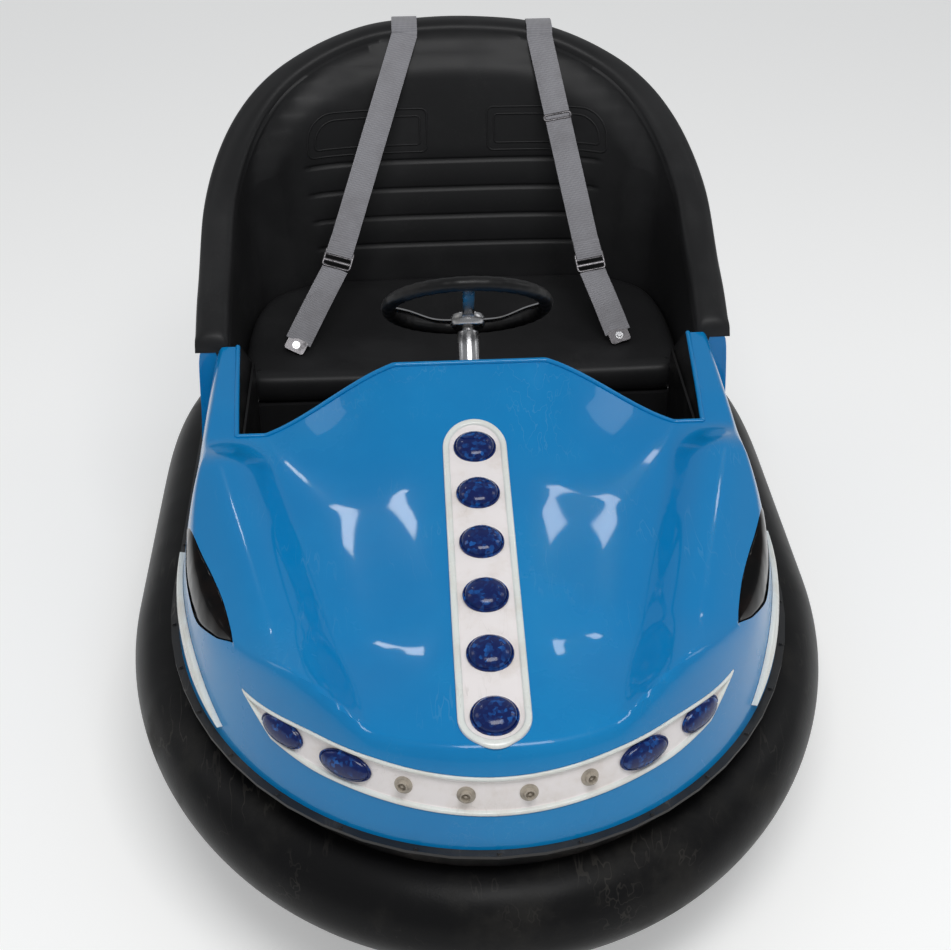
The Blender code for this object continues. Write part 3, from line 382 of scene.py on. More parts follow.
class Effects:
    """The shader node groups that several finishes share, each built once."""

    def __init__(self) -> None:
        """Build every group."""
        self.grain = self.build_grain()
        self.patches = self.build_patches()
        self.scratches = self.build_scratches()
        self.weave = self.build_weave()

    @staticmethod
    def build_grain() -> bpy.types.NodeTree:
        """Moulded grain: pebbles of one size broken up by finer noise."""
        group, wiring, start, end = new_group(
            "moulded_grain", {"Vector": "vector", "Scale": 400.0}, ["Height"])
        cells = wiring.node("ShaderNodeTexVoronoi", {"Vector": start.outputs[0], "Scale": start.outputs[1]},
                            feature="SMOOTH_F1")
        noise = wiring.node("ShaderNodeTexNoise", {"Vector": start.outputs[0], "Scale": start.outputs[1],
                                                   "Detail": 2.0})
        both = wiring.math("ADD", cells.outputs[0], noise.outputs[0])
        group.links.new(both.outputs[0], end.inputs[0])
        return group

    @staticmethod
    def build_patches() -> bpy.types.NodeTree:
        """Cloudy patches such as dust, fading or grime; on the gloss black they carry painted reflections."""
        group, wiring, start, end = new_group(
            "cloudy_patches", {"Vector": "vector", "Scale": 6.0, "From": 0.45, "To": 0.7}, ["Mask"])
        noise = wiring.node("ShaderNodeTexNoise", {"Vector": start.outputs[0], "Scale": start.outputs[1],
                                                   "Detail": 6.0, "Roughness": 0.62})
        mask = wiring.node("ShaderNodeMapRange", {0: noise.outputs[0], 1: start.outputs[2],
                                                  2: start.outputs[3], 3: 0.0, 4: 1.0},
                           interpolation_type="SMOOTHSTEP")
        group.links.new(mask.outputs[0], end.inputs[0])
        return group

    @staticmethod
    def build_scratches() -> bpy.types.NodeTree:
        """Thin long scuffs along the car."""
        group, wiring, start, end = new_group(
            "long_scuffs", {"Vector": "vector", "Scale": 60.0, "Width": 0.012}, ["Mask"])
        turned = wiring.node("ShaderNodeMapping", {0: start.outputs[0]})
        turned.inputs["Scale"].default_value = (1.0, 0.09, 1.0)
        turned.inputs["Rotation"].default_value = (0.2, 0.1, 0.5)
        noise = wiring.node("ShaderNodeTexNoise", {"Vector": turned.outputs[0], "Scale": start.outputs[1],
                                                   "Detail": 2.0})
        off = wiring.math("SUBTRACT", noise.outputs[0], 0.5)
        size = wiring.math("ABSOLUTE", off.outputs[0])
        line = wiring.math("LESS_THAN", size.outputs[0], start.outputs[2])
        where = wiring.node("ShaderNodeTexNoise", {"Vector": start.outputs[0], "Scale": 9.0, "Detail": 3.0})
        some = wiring.node("ShaderNodeMapRange", {0: where.outputs[0], 1: 0.52, 2: 0.66, 3: 0.0, 4: 1.0})
        both = wiring.math("MULTIPLY", line.outputs[0], some.outputs[0])
        group.links.new(both.outputs[0], end.inputs[0])
        return group

    @staticmethod
    def build_weave() -> bpy.types.NodeTree:
        """Webbing: ribs across the strap, crossed by the warp, from a map in metres, with a share for painted
        shade in the weave's hollows.
        """
        group, wiring, start, end = new_group(
            "webbing_weave", {"Vector": "vector", "Rib": 1400.0, "Warp": 2600.0}, ["Height", "Unshaded"])
        parts = wiring.node("ShaderNodeSeparateXYZ", {0: start.outputs[0]})
        slant = wiring.math("MULTIPLY", parts.outputs[0], start.outputs[2])
        across = wiring.math("SINE", slant.outputs[0])
        pitch = wiring.math("MULTIPLY_ADD", parts.outputs[1], start.outputs[1], across.outputs[0])
        ribs = wiring.math("SINE", pitch.outputs[0])
        height = wiring.math("MULTIPLY_ADD", ribs.outputs[0], 0.6, across.outputs[0])
        # Painted shade: 0 in the weave's hollows, 1 on the thread tops.
        unshaded = wiring.node("ShaderNodeMapRange", {0: height.outputs[0], 1: -1.6, 2: 1.6, 3: 0.0, 4: 1.0})
        group.links.new(height.outputs[0], end.inputs[0])
        group.links.new(unshaded.outputs[0], end.inputs[1])
        return group


EFFECTS = Effects()


@dataclass(frozen=True)
class Finish:
    """One finish: its colours, gloss, grain and wear, built as a material by build()."""

    name: str
    colour: tuple[int, int, int]          # main colour on screen
    second: tuple[int, int, int]          # colour of its cloudy patches
    roughness: tuple[float, float] = (0.4, 0.5)
    metallic: float = 0.0
    coat: float = 0.0
    coat_roughness: float = 0.05
    patch_scale: float = 5.0
    patch_from_to: tuple[float, float] = (0.40, 0.75)
    grain_scale: float = 500.0
    grain_depth: float = 0.00004          # metres
    scuff: tuple[int, int, int] | None = None
    scuff_scale: float = 70.0
    scuff_share: float = 0.35
    uses_map: bool = False                # webbing: pattern from the piece's own map
    specular: float = 0.5
    sheen: float = 0.0
    wave_depth: float = 0.0               # long soft waves, metres
    wave_scale: float = 14.0

    def build(self) -> bpy.types.Material:
        """The finish as a node material."""
        material = bpy.data.materials.new(self.name)
        material.use_nodes = True
        wiring = Wiring(material.node_tree)
        shader = material.node_tree.nodes["Principled BSDF"]
        where = wiring.node("ShaderNodeTexCoord")
        vector = where.outputs["UV" if self.uses_map else "Object"]
        place = where.outputs["Object"]
        patches = wiring.node("ShaderNodeGroup", node_tree=EFFECTS.patches)
        material.node_tree.links.new(place, patches.inputs["Vector"])
        patches.inputs["Scale"].default_value = self.patch_scale
        patches.inputs["From"].default_value, patches.inputs["To"].default_value = self.patch_from_to
        mask = patches.outputs["Mask"]
        colour = wiring.blend(mask, linear(*self.colour), linear(*self.second))
        rough = wiring.spread(mask, 0.0, 1.0, *self.roughness)
        if self.uses_map:
            relief = wiring.node("ShaderNodeGroup", {"Vector": vector}, node_tree=EFFECTS.weave)
            # Painted shade: the weave's hollows darken to 0.45 of the colour.
            dark = tuple(0.45 * part for part in linear(*self.colour))
            colour = wiring.blend(relief.outputs["Unshaded"], dark, colour)
        else:
            relief = wiring.node("ShaderNodeGroup", {"Vector": place, "Scale": self.grain_scale},
                                 node_tree=EFFECTS.grain)
        if self.scuff:
            scuffs = wiring.node("ShaderNodeGroup", {"Vector": place, "Scale": self.scuff_scale},
                                 node_tree=EFFECTS.scratches)
            amount = wiring.math("MULTIPLY", scuffs.outputs["Mask"], self.scuff_share)
            colour = wiring.blend(amount.outputs[0], colour, linear(*self.scuff))
        bump = wiring.node("ShaderNodeBump", {"Height": relief.outputs["Height"], "Distance": self.grain_depth,
                                              "Strength": 1.0})
        normal = bump.outputs[0]
        if self.wave_depth:
            waves = wiring.node("ShaderNodeTexNoise", {"Vector": place, "Scale": self.wave_scale,
                                                       "Detail": 1.0})
            soft = wiring.node("ShaderNodeBump", {"Height": waves.outputs[0], "Distance": self.wave_depth,
                                                  "Strength": 1.0, "Normal": normal})
            normal = soft.outputs[0]
        wiring.tree.links.new(colour, shader.inputs["Base Color"])
        wiring.tree.links.new(rough, shader.inputs["Roughness"])
        wiring.tree.links.new(normal, shader.inputs["Normal"])
        shader.inputs["Metallic"].default_value = self.metallic
        shader.inputs["Coat Weight"].default_value = self.coat
        shader.inputs["Coat Roughness"].default_value = self.coat_roughness
        shader.inputs["Specular IOR Level"].default_value = self.specular
        shader.inputs["Sheen Weight"].default_value = self.sheen
        return material


@dataclass(frozen=True)
class LensFinish:
    """A moulded lamp lens: deep colour with painted glints, brighter cells standing for light caught in its
    facets.
    """

    name: str
    deep: tuple[int, int, int]
    # bright: colour of the painted glints in the facets
    bright: tuple[int, int, int]
    facet_scale: float = 190.0

    def build(self) -> bpy.types.Material:
        """The lens as a node material."""
        material = bpy.data.materials.new(self.name)
        material.use_nodes = True
        wiring = Wiring(material.node_tree)
        shader = material.node_tree.nodes["Principled BSDF"]
        where = wiring.node("ShaderNodeTexCoord")
        facets = wiring.node("ShaderNodeTexVoronoi", {"Vector": where.outputs["Object"],
                                                      "Scale": self.facet_scale})
        # Painted glints: brighter facet cells, thinned out by cloudy noise, stand for light caught in the
        # lens.
        facet_glint = wiring.spread(facets.outputs["Color"], 0.45, 0.95, 0.0, 0.75)
        clouds = wiring.node("ShaderNodeTexNoise", {"Vector": where.outputs["Object"], "Scale": 45.0})
        some = wiring.spread(clouds.outputs[0], 0.42, 0.62, 0.15, 1.0)
        share = wiring.math("MULTIPLY", facet_glint, some)
        colour = wiring.blend(share.outputs[0], linear(*self.deep), linear(*self.bright))
        bump = wiring.node("ShaderNodeBump", {"Height": facets.outputs["Distance"], "Distance": 0.0004,
                                              "Strength": 0.5})
        wiring.tree.links.new(colour, shader.inputs["Base Color"])
        wiring.tree.links.new(bump.outputs[0], shader.inputs["Normal"])
        shader.inputs["Roughness"].default_value = 0.16
        shader.inputs["Coat Weight"].default_value = 0.35
        shader.inputs["Specular IOR Level"].default_value = 0.2
        shader.inputs["Coat Roughness"].default_value = 0.03
        return material


BLUE = Finish("gelcoat_blue", (0, 128, 193), (4, 136, 200), (0.22, 0.32), coat=0.5, coat_roughness=0.04,
              specular=0.15,
              patch_scale=3.0, grain_scale=900.0, grain_depth=0.000006, scuff=(120, 176, 208),
              scuff_scale=55.0, scuff_share=0.10, wave_depth=0.0012, wave_scale=9.0).build()
WHITE = Finish("panel_white", (234, 238, 234), (224, 222, 214), (0.26, 0.4), coat=0.4, patch_scale=14.0,
               grain_scale=700.0, grain_depth=0.000008, scuff=(160, 156, 148), scuff_share=0.15).build()
PLATE = Finish("plate_white", (247, 241, 240), (232, 223, 217), (0.34, 0.5), coat=0.2, patch_scale=18.0,
               grain_scale=800.0, grain_depth=0.000012, scuff=(150, 140, 126), scuff_share=0.2).build()
# Second colour: painted glints in the lens facets.
LENS = LensFinish("lens_blue", (0, 26, 88), (26, 104, 190)).build()
# Gloss black: its reddish-brown second colour is painted reflections, laid in cloudy patches.
GLOSS_BLACK = Finish("gloss_black", (5, 5, 6), (20, 11, 8), (0.10, 0.18), coat=0.10, coat_roughness=0.02,
                     specular=0.05,
                     patch_scale=16.0, grain_depth=0.000003, wave_depth=0.002, wave_scale=22.0).build()
SEAT_BLACK = Finish("seat_black", (32, 32, 33), (42, 42, 43), (0.40, 0.52), patch_scale=4.0, specular=0.2,
                    grain_scale=620.0, grain_depth=0.00005, scuff=(74, 73, 70), scuff_scale=90.0,
                    scuff_share=0.10, wave_depth=0.001, wave_scale=8.0).build()
RUBBER = Finish("bumper_rubber", (19, 19, 20), (42, 41, 39), (0.38, 0.62), patch_scale=7.0, specular=0.12,
                patch_from_to=(0.48, 0.80), grain_scale=300.0, grain_depth=0.00008, scuff=(96, 92, 86),
                scuff_scale=40.0, scuff_share=0.16, wave_depth=0.0016, wave_scale=11.0).build()
FRAME_PAINT = Finish("frame_paint", (30, 30, 31), (52, 48, 44), (0.38, 0.6), patch_scale=9.0,
                     grain_scale=450.0, grain_depth=0.00003, scuff=(110, 104, 98), scuff_share=0.4).build()
STEEL = Finish("bright_steel", (182, 182, 184), (140, 137, 132), (0.22, 0.42), metallic=1.0,
               patch_scale=20.0, grain_scale=1200.0, grain_depth=0.000015, scuff=(96, 92, 88),
               scuff_scale=120.0).build()
TYRE = Finish("tyre_rubber", (34, 34, 35), (62, 60, 57), (0.6, 0.85), patch_scale=12.0, grain_scale=350.0,
              grain_depth=0.00012, scuff=(100, 98, 94), scuff_share=0.4).build()
WEBBING = Finish("belt_webbing", (170, 169, 175), (150, 148, 152), (0.6, 0.75), patch_scale=16.0,
                 grain_depth=0.00025, uses_map=True, sheen=0.3).build()
THREAD = Finish("stitch_thread", (98, 97, 102), (84, 83, 88), (0.6, 0.75), grain_depth=0.0001).build()
BLACK_PART = Finish("black_part", (20, 20, 21), (30, 29, 29), (0.34, 0.5), patch_scale=15.0, specular=0.25,
                    grain_scale=700.0, grain_depth=0.00003).build()
SOCKET = Finish("lamp_socket", (178, 168, 154), (122, 114, 104), (0.4, 0.6), patch_scale=60.0,
                grain_depth=0.00003).build()


# ---- repeated small parts by geometry nodes -----------------------------------------------------
class Repeat(Enum):
    """What a row of repeated parts is made of."""

    BOLT = "bolt"
    BLOCK = "block"


@dataclass(frozen=True)
class Spot:
    """Where one repeated part sits: its foot, the way it faces and the way its length runs."""

    foot: Vector
    facing: Vector
    along: Vector = field(default_factory=lambda: Vector((0.0, 1.0, 0.0)))


def repeat_tree(shape: Repeat) -> bpy.types.NodeTree:
    """The node tree that puts one shape on every point, turned to the point's own directions.

    Args:
        shape: a round-headed bolt on a washer, or a bevelled block.
    Returns:
        The tree, with named inputs for its sizes.
    """
    tree = bpy.data.node_groups.new("row_of_%ss" % shape.value, "GeometryNodeTree")
    for label, kind in (("Points", "Geometry"), ("Size", "Vector"), ("Spread", "Float"), ("Seed", "Int"),
                        ("Finish", "Material")):
        tree.interface.new_socket(label, in_out="INPUT", socket_type="NodeSocket" + kind)
    tree.interface.new_socket("Parts", in_out="OUTPUT", socket_type="NodeSocketGeometry")
    wiring = Wiring(tree)
    start, end = wiring.node("NodeGroupInput"), wiring.node("NodeGroupOutput")
    size = wiring.node("ShaderNodeSeparateXYZ", {0: start.outputs["Size"]})
    if shape is Repeat.BOLT:
        wide = wiring.math("MULTIPLY", size.outputs[0], 1.45)
        thin = wiring.math("MULTIPLY", size.outputs[2], 0.22)
        washer = wiring.node("GeometryNodeMeshCone", {"Vertices": 16, "Radius Top": wide.outputs[0],
                                                      "Radius Bottom": wide.outputs[0],
                                                      "Depth": thin.outputs[0]})
        narrow = wiring.math("MULTIPLY", size.outputs[0], 0.86)
        head = wiring.node("GeometryNodeMeshCone", {"Vertices": 6, "Radius Top": narrow.outputs[0],
                                                    "Radius Bottom": size.outputs[0],
                                                    "Depth": size.outputs[2]})
        shaped = wiring.node("GeometryNodeJoinGeometry")
        tree.links.new(washer.outputs[0], shaped.inputs[0])
        tree.links.new(head.outputs[0], shaped.inputs[0])
        mesh = shaped.outputs[0]
    else:
        cube = wiring.node("GeometryNodeMeshCube", {"Size": start.outputs["Size"]})
        mesh = cube.outputs[0]
    facing = wiring.node("GeometryNodeInputNamedAttribute", {"Name": "facing"}, data_type="FLOAT_VECTOR")
    along = wiring.node("GeometryNodeInputNamedAttribute", {"Name": "along"}, data_type="FLOAT_VECTOR")
    first = wiring.node("FunctionNodeAlignRotationToVector", {"Vector": facing.outputs[0]}, axis="Z")
    second = wiring.node("FunctionNodeAlignRotationToVector",
                         {"Rotation": first.outputs[0], "Vector": along.outputs[0]}, axis="Y", pivot_axis="Z")
    low = wiring.math("SUBTRACT", 1.0, start.outputs["Spread"])
    high = wiring.math("ADD", 1.0, start.outputs["Spread"])
    chance = wiring.node("FunctionNodeRandomValue", data_type="FLOAT")
    tree.links.new(low.outputs[0], chance.inputs[2])
    tree.links.new(high.outputs[0], chance.inputs[3])
    tree.links.new(start.outputs["Seed"], chance.inputs["Seed"])
    placed = wiring.node("GeometryNodeInstanceOnPoints", {"Points": start.outputs["Points"],
                                                          "Instance": mesh, "Rotation": second.outputs[0],
                                                          "Scale": chance.outputs[1]})
    real = wiring.node("GeometryNodeRealizeInstances", {0: placed.outputs[0]})
    dressed = wiring.node("GeometryNodeSetMaterial", {"Geometry": real.outputs[0],
                                                      "Material": start.outputs["Finish"]})
    tree.links.new(dressed.outputs[0], end.inputs[0])
    return tree


TREES = {shape: repeat_tree(shape) for shape in Repeat}


def run_tree(piece: Piece, tree: bpy.types.NodeTree, values: dict[str, object]) -> None:
    """Run a node tree on a piece with values for its named inputs, and keep the plain mesh."""
    step = piece.modifiers.new(tree.name, "NODES")
    step.node_group = tree
    for item in tree.interface.items_tree:
        if item.in_out == "INPUT" and item.name in values:
            step[item.identifier] = values[item.name]
    settle(piece)


def row_of(name: str, shape: Repeat, spots: Sequence[Spot], size: tuple[float, float, float],
           material: bpy.types.Material, spread: float = 0.0, seed: int = 1,
           round_degrees: float = 30.0) -> Piece:
    """Repeated parts as one plain mesh.

    Args:
        name: the piece's name.
        shape: what is repeated.
        spots: where each one sits.
        size: width, length and height of one.
        material: its finish.
        spread: how much their size varies, as a share.
        seed: fixes the variation.
        round_degrees: faces that meet at less than this look round.
    Returns:
        The new object, with no modifier left.
    """
    mesh = bpy.data.meshes.new(name)
    mesh.from_pydata([spot.foot for spot in spots], [], [])
    for label, values in (("facing", [s.facing for s in spots]), ("along", [s.along for s in spots])):
        attribute = mesh.attributes.new(label, "FLOAT_VECTOR", "POINT")
        attribute.data.foreach_set("vector", [part for value in values for part in value])
    piece = bpy.data.objects.new(name, mesh)
    bpy.context.scene.collection.objects.link(piece)
    run_tree(piece, TREES[shape], {"Size": size, "Spread": spread, "Seed": seed, "Finish": material})
    piece.data.shade_smooth()
    piece.data.set_sharp_from_angle(angle=math.radians(round_degrees))
    return piece


# ---- plates that lie on a curved surface ---------------------------------------------------------
Edges = tuple[list[Vector], list[Vector]]


def plate(outline: Callable[[float], Edges], place: Callable[[Vector, float], Vector],
          profile: Sequence[Point2], back: float, columns: int = 8, crown: float = 0.0) -> Making:
    """A thin plate whose edge has a profile and whose faces follow a curved surface.

    Args:
        outline: for an inset, the plate's two long edges as flat points in step with each other.
        place: puts a flat point on the surface at a height over it.
        profile: inset and height of each line of the edge, from the outside inwards.
        back: height of the underside.
        columns: steps across.
        crown: how much the middle of the face rises.
    Returns:
        The mesh in the making.
    """
    bm = bmesh.new()

    def ring(inset: float, height: float) -> list[bmesh.types.BMVert]:
        """One line round the edge."""
        one, two = outline(inset)
        flat = list(one) + [one[-1].lerp(two[-1], k / columns) for k in range(1, columns)]
        flat += list(reversed(two)) + [two[0].lerp(one[0], k / columns) for k in range(1, columns)]
        return [bm.verts.new(place(point, height)) for point in flat]

    def face(inset: float, height: float, rise: float) -> None:
        """One face inside an edge line."""
        one, two = outline(inset)
        rows = []
        for a, b in zip(one, two):
            shares = [k / columns for k in range(columns + 1)]
            rows.append([bm.verts.new(place(a.lerp(b, t), height + 4 * rise * t * (1 - t))) for t in shares])
        for near, far in zip(rows, rows[1:]):
            for k in range(columns):
                bm.faces.new((near[k], near[k + 1], far[k + 1], far[k]))

    lines = [(profile[0][0], back)] + list(profile)
    rings = [ring(*line) for line in lines]
    for one, two in zip(rings, rings[1:]):
        for i in range(len(one)):
            j = (i + 1) % len(one)
            bm.faces.new((one[i], one[j], two[j], two[i]))
    face(profile[0][0], back, 0.0)
    face(*profile[-1], crown)
    return bm


def dome(spot: Vector, normal: Vector, size: tuple[float, float, float], level: Vector = UP) -> Making:
    """A lamp lens: a rim, a groove and a dome, round or oval.

    Args:
        spot: the middle of its foot.
        normal: the way it faces.
        size: half length, half width and height.
        level: its length runs square to this and to the normal.
    Returns:
        The mesh in the making.
    """
    length, width, height = size
    side = level.cross(normal).normalized()
    around = Matrix((side * length, normal.cross(side) * width, normal)).transposed().to_4x4()
    profile = [(0.0, 0.0), (1.0, 0.0), (1.0, 0.0024), (0.975, 0.0036), (0.94, 0.0038), (0.915, 0.0030)]
    for k in range(1, 13):
        turn = math.pi / 2 * k / 12
        profile.append((0.90 * math.cos(turn), 0.003 + (height - 0.003) * math.sin(turn) ** 0.92))
    profile[-1] = (0.0, height)
    return lathe(profile, Matrix.Translation(spot) @ around, 56)


# ---- front body ----------------------------------------------------------------------------------
@dataclass
class FrontSkin:
    """The outer face of the front body as a dense grid, with rays cast onto it."""

    half_width: float = 0.494
    front_y: float = -0.824
    bottom_z: float = 0.320
    wall: float = 0.006
    round_y: float = -0.200
    hood_rear_y: float = -0.055
    hood_top_z: float = 0.655
    hood_flat_half: float = 0.125
    shoulder_x: float = 0.394
    shoulder_z: float = 0.528
    sill_end: tuple[float, float, float] = (0.408, 0.205, 0.556)
    spokes: int = 241
    steps: int = 60
    sills: int = 22
    rows: list[list[Vector]] = field(default_factory=list)
    normals: list[list[Vector]] = field(default_factory=list)

    def __post_init__(self) -> None:
        """Lay out the grid and its search tree."""
        self.rows = self.grid()
        self.normals = self.grid_normals()
        width = len(self.rows[0])
        self.flat = [point for row in self.rows for point in row]
        self.flat_normals = [normal for row in self.normals for normal in row]
        self.faces = [(i * width + j, (i + 1) * width + j, (i + 1) * width + j + 1, i * width + j + 1)
                      for i in range(len(self.rows) - 1) for j in range(width - 1)]
        self.tree = BVHTree.FromPolygons(self.flat, self.faces)

    def hood_height(self, x: float, y: float) -> float:
        """Height of the hood before its outer edge falls away."""
        side, back = abs(x), self.hood_rear_y - y
        rise = max(0.0, 1.0 - back / 0.151)
        crown = 0.577 + 0.18 * (0.151 - back) + (self.hood_top_z - 0.604) * rise ** 1.5
        valley = self.shoulder_z - 0.125 * back + 0.028 * smooth_step((back - 0.48) / 0.20)
        edge = 0.345 + 0.26 * (y - self.hood_rear_y)
        if side < edge:
            flat = self.hood_flat_half / edge * max(0.0, 1.0 - back / 0.20)
            share = max(0.0, (side / edge - flat) / (1.0 - flat))
            blend = 0.35 + 0.65 * min(1.0, back / 0.20)
            soft = 1.0 - smooth_step(share)
            return valley + (crown - valley) * ((1.0 - share) * (1.0 - blend) + soft * blend)
        share = (side - edge) / 0.17
        fender = 0.036 * smooth_step(back / 0.12)
        return valley + fender * math.sin(math.pi * min(1.0, share)) ** 1.3

    def line(self, inner: Vector, outer: Vector, outward: Vector, height: float | None) -> list[Vector]:
        """Points from the inner edge over the shoulder and down to the bottom edge."""
        line = []
        for step in range(self.steps + 1):
            place = inner.lerp(outer, 1.0 - (1.0 - step / self.steps) ** 1.9)
            wall = self.bottom_z + 5.0 * (outer - place).dot(outward)
            top = self.hood_height(place.x, place.y) if height is None else height
            near = max(0.06 - abs(wall - top), 0.0) / 0.06
            line.append(Vector((place.x, place.y, min(wall, top) - near * near * 0.06 * 0.25)))
        return line

    def grid(self) -> list[list[Vector]]:
        """The whole face as rows: right sill, hood, left sill."""
        rows = []
        end_x, end_y, end_z = self.sill_end
        for k in range(self.sills):
            share = 1.0 - k / self.sills
            y = self.hood_rear_y + (end_y - self.hood_rear_y) * share
            inner = Vector((-(self.shoulder_x + (end_x - self.shoulder_x) * share), y))
            height = self.shoulder_z + (end_z - self.shoulder_z) * share + 0.004 * smooth_step(share / 0.33)
            rows.append(self.line(inner, Vector((-self.half_width, y)), Vector((-1.0, 0.0)), height))
        straight, depth = self.hood_rear_y - self.round_y, self.round_y - self.front_y
        arc = math.pi / 2 * math.sqrt((self.half_width ** 2 + depth ** 2) / 2)
        for k in range(self.spokes):
            share = k / (self.spokes - 1)
            run = (straight + arc) * 2 * min(share, 1.0 - share)
            sign = -1.0 if share <= 0.5 else 1.0
            if run <= straight:
                outer, outward = Vector((self.half_width, self.hood_rear_y - run)), Vector((1.0, 0.0))
            else:
                turn = (run - straight) / arc * math.pi / 2
                outer = Vector((self.half_width * math.cos(turn), self.round_y - depth * math.sin(turn)))
                outward = Vector((outer.x / self.half_width ** 2, (outer.y - self.round_y) / depth ** 2))
                outward.normalize()
            inner = Vector((self.shoulder_x * math.cos(math.pi * min(share, 1.0 - share)), self.hood_rear_y))
            for place in (outer, outward, inner):
                place.x *= sign
            rows.append(self.line(inner, outer, outward, None))
        return rows + [[Vector((-p.x, p.y, p.z)) for p in row] for row in reversed(rows[:self.sills])]

    def grid_normals(self) -> list[list[Vector]]:
        """Outward normals at every point."""
        last, table = len(self.rows) - 1, []
        for i, row in enumerate(self.rows):
            line = []
            for j in range(len(row)):
                along = self.rows[min(i + 1, last)][j] - self.rows[max(i - 1, 0)][j]
                down = row[min(j + 1, len(row) - 1)] - row[max(j - 1, 0)]
                line.append(along.cross(down).normalized())
            table.append(line)
        if table[last // 2][5].z < 0:
            table = [[-normal for normal in line] for line in table]
        return table

    def at(self, start: Sequence[float], direction: Sequence[float]) -> tuple[Vector, Vector]:
        """Where a ray meets the face.

        Args:
            start: the ray's first point.
            direction: the way it goes.
        Returns:
            The point and the smooth outward normal there.
        """
        start, direction = Vector(start), Vector(direction)
        spot, _, index, _ = self.tree.ray_cast(start, direction)
        if spot is None:
            spot, _, index, _ = self.tree.find_nearest(start + direction * 1.5)
        corners = [self.flat[k] for k in self.faces[index]]
        weights = poly_3d_calc(corners, spot)
        normal = Vector((0.0, 0.0, 0.0))
        for weight, k in zip(weights, self.faces[index]):
            normal += self.flat_normals[k] * weight
        return spot, normal.normalized()

    def above(self, flat: Vector, height: float) -> Vector:
        """A point over x and y at a height over the face."""
        spot, normal = self.at((flat.x, flat.y, 2.0), (0.0, 0.0, -1.0))
        return spot + normal * height

    def ahead(self, flat: Vector, height: float) -> Vector:
        """A point in front of x and z at a height over the face."""
        spot, normal = self.at((flat.x, -2.0, flat.y), (0.0, 1.0, 0.0))
        return spot + normal * height

    def shell(self) -> Making:
        """The face with its wall behind it, its rear and bottom edges flat."""
        bm = bmesh.new()
        last, width, sides = len(self.rows) - 1, len(self.rows[0]), []
        for reach in (0.0, -self.wall):
            grid = []
            for i, row in enumerate(self.rows):
                line = []
                for j, point in enumerate(row):
                    place = point + self.normals[i][j] * reach
                    if i in (0, last):
                        place.y = self.sill_end[1]
                    if j == width - 1:
                        place.z = self.bottom_z
                    line.append(bm.verts.new(place))
                grid.append(line)
            sides.append(grid)
        for side in sides:
            for i in range(last):
                for j in range(width - 1):
                    bm.faces.new((side[i][j], side[i + 1][j], side[i + 1][j + 1], side[i][j + 1]))
        border = [(i, 0) for i in range(last + 1)] + [(last, j) for j in range(1, width)]
        border += [(i, width - 1) for i in range(last - 1, -1, -1)] + [(0, j) for j in range(width - 2, 0, -1)]
        for (a, b), (c, d) in zip(border, border[1:] + border[:1]):
            bm.faces.new((sides[0][a][b], sides[0][c][d], sides[1][c][d], sides[1][a][b]))
        return bm


@dataclass
class Mouth:
    """The opening in the nose that the front lamp strip fills."""

    top_x: float = 0.356
    low_x: float = 0.314
    middle_z: float = 0.402
    end_rise: float = 0.012
    half_height: float = 0.030
    end_narrow: float = 0.012
    narrow_x: float = 0.240
    steps: int = 90

    def middle(self, x: float) -> float:
        """Height of its middle line."""
        return self.middle_z + self.end_rise * smooth_step(abs(x) / 0.30)

    def half(self, x: float) -> float:
        """Half its height."""
        share = (abs(x) - self.narrow_x) / (self.top_x - self.narrow_x)
        return self.half_height - self.end_narrow * smooth_step(share)

    def edges(self, inset: float) -> Edges:
        """Its top and bottom edges, drawn in by an inset, in x and z."""
        top, low = [], []
        for k in range(-self.steps, self.steps + 1):
            share = k / self.steps
            x = share * (self.top_x - 1.6 * inset)
            top.append(Vector((x, self.middle(x) + self.half(x) - inset)))
            x = share * (self.low_x - inset)
            low.append(Vector((x, self.middle(x) - self.half(x) + inset)))
        return top, low


@dataclass
class Leaf:
    """The outline of a dark headlight insert, seen from above, on one side."""

    side: int
    steps: int = 44
    inner: tuple[Point2, ...] = ((0.466, -0.232), (0.449, -0.290), (0.430, -0.345), (0.408, -0.402),
                                 (0.388, -0.460), (0.373, -0.518), (0.368, -0.545))
    outer: tuple[Point2, ...] = ((0.466, -0.232), (0.464, -0.305), (0.452, -0.375), (0.433, -0.440),
                                 (0.400, -0.504), (0.368, -0.545))

    def edges(self, inset: float) -> Edges:
        """Its inner and outer edges, drawn in towards its middle."""
        corners = self.inner + self.outer[1:-1]
        middle = Vector((sum(x for x, _ in corners) / len(corners), sum(y for _, y in corners) / len(corners)))
        lines = []
        for points in (self.inner, self.outer):
            line = []
            for point in through(points, self.steps):
                away = point - middle
                away -= away.normalized() * min(inset, 0.8 * away.length)
                line.append(Vector((self.side * (middle.x + away.x), middle.y + away.y)))
            lines.append(line)
        return lines[0], lines[1]


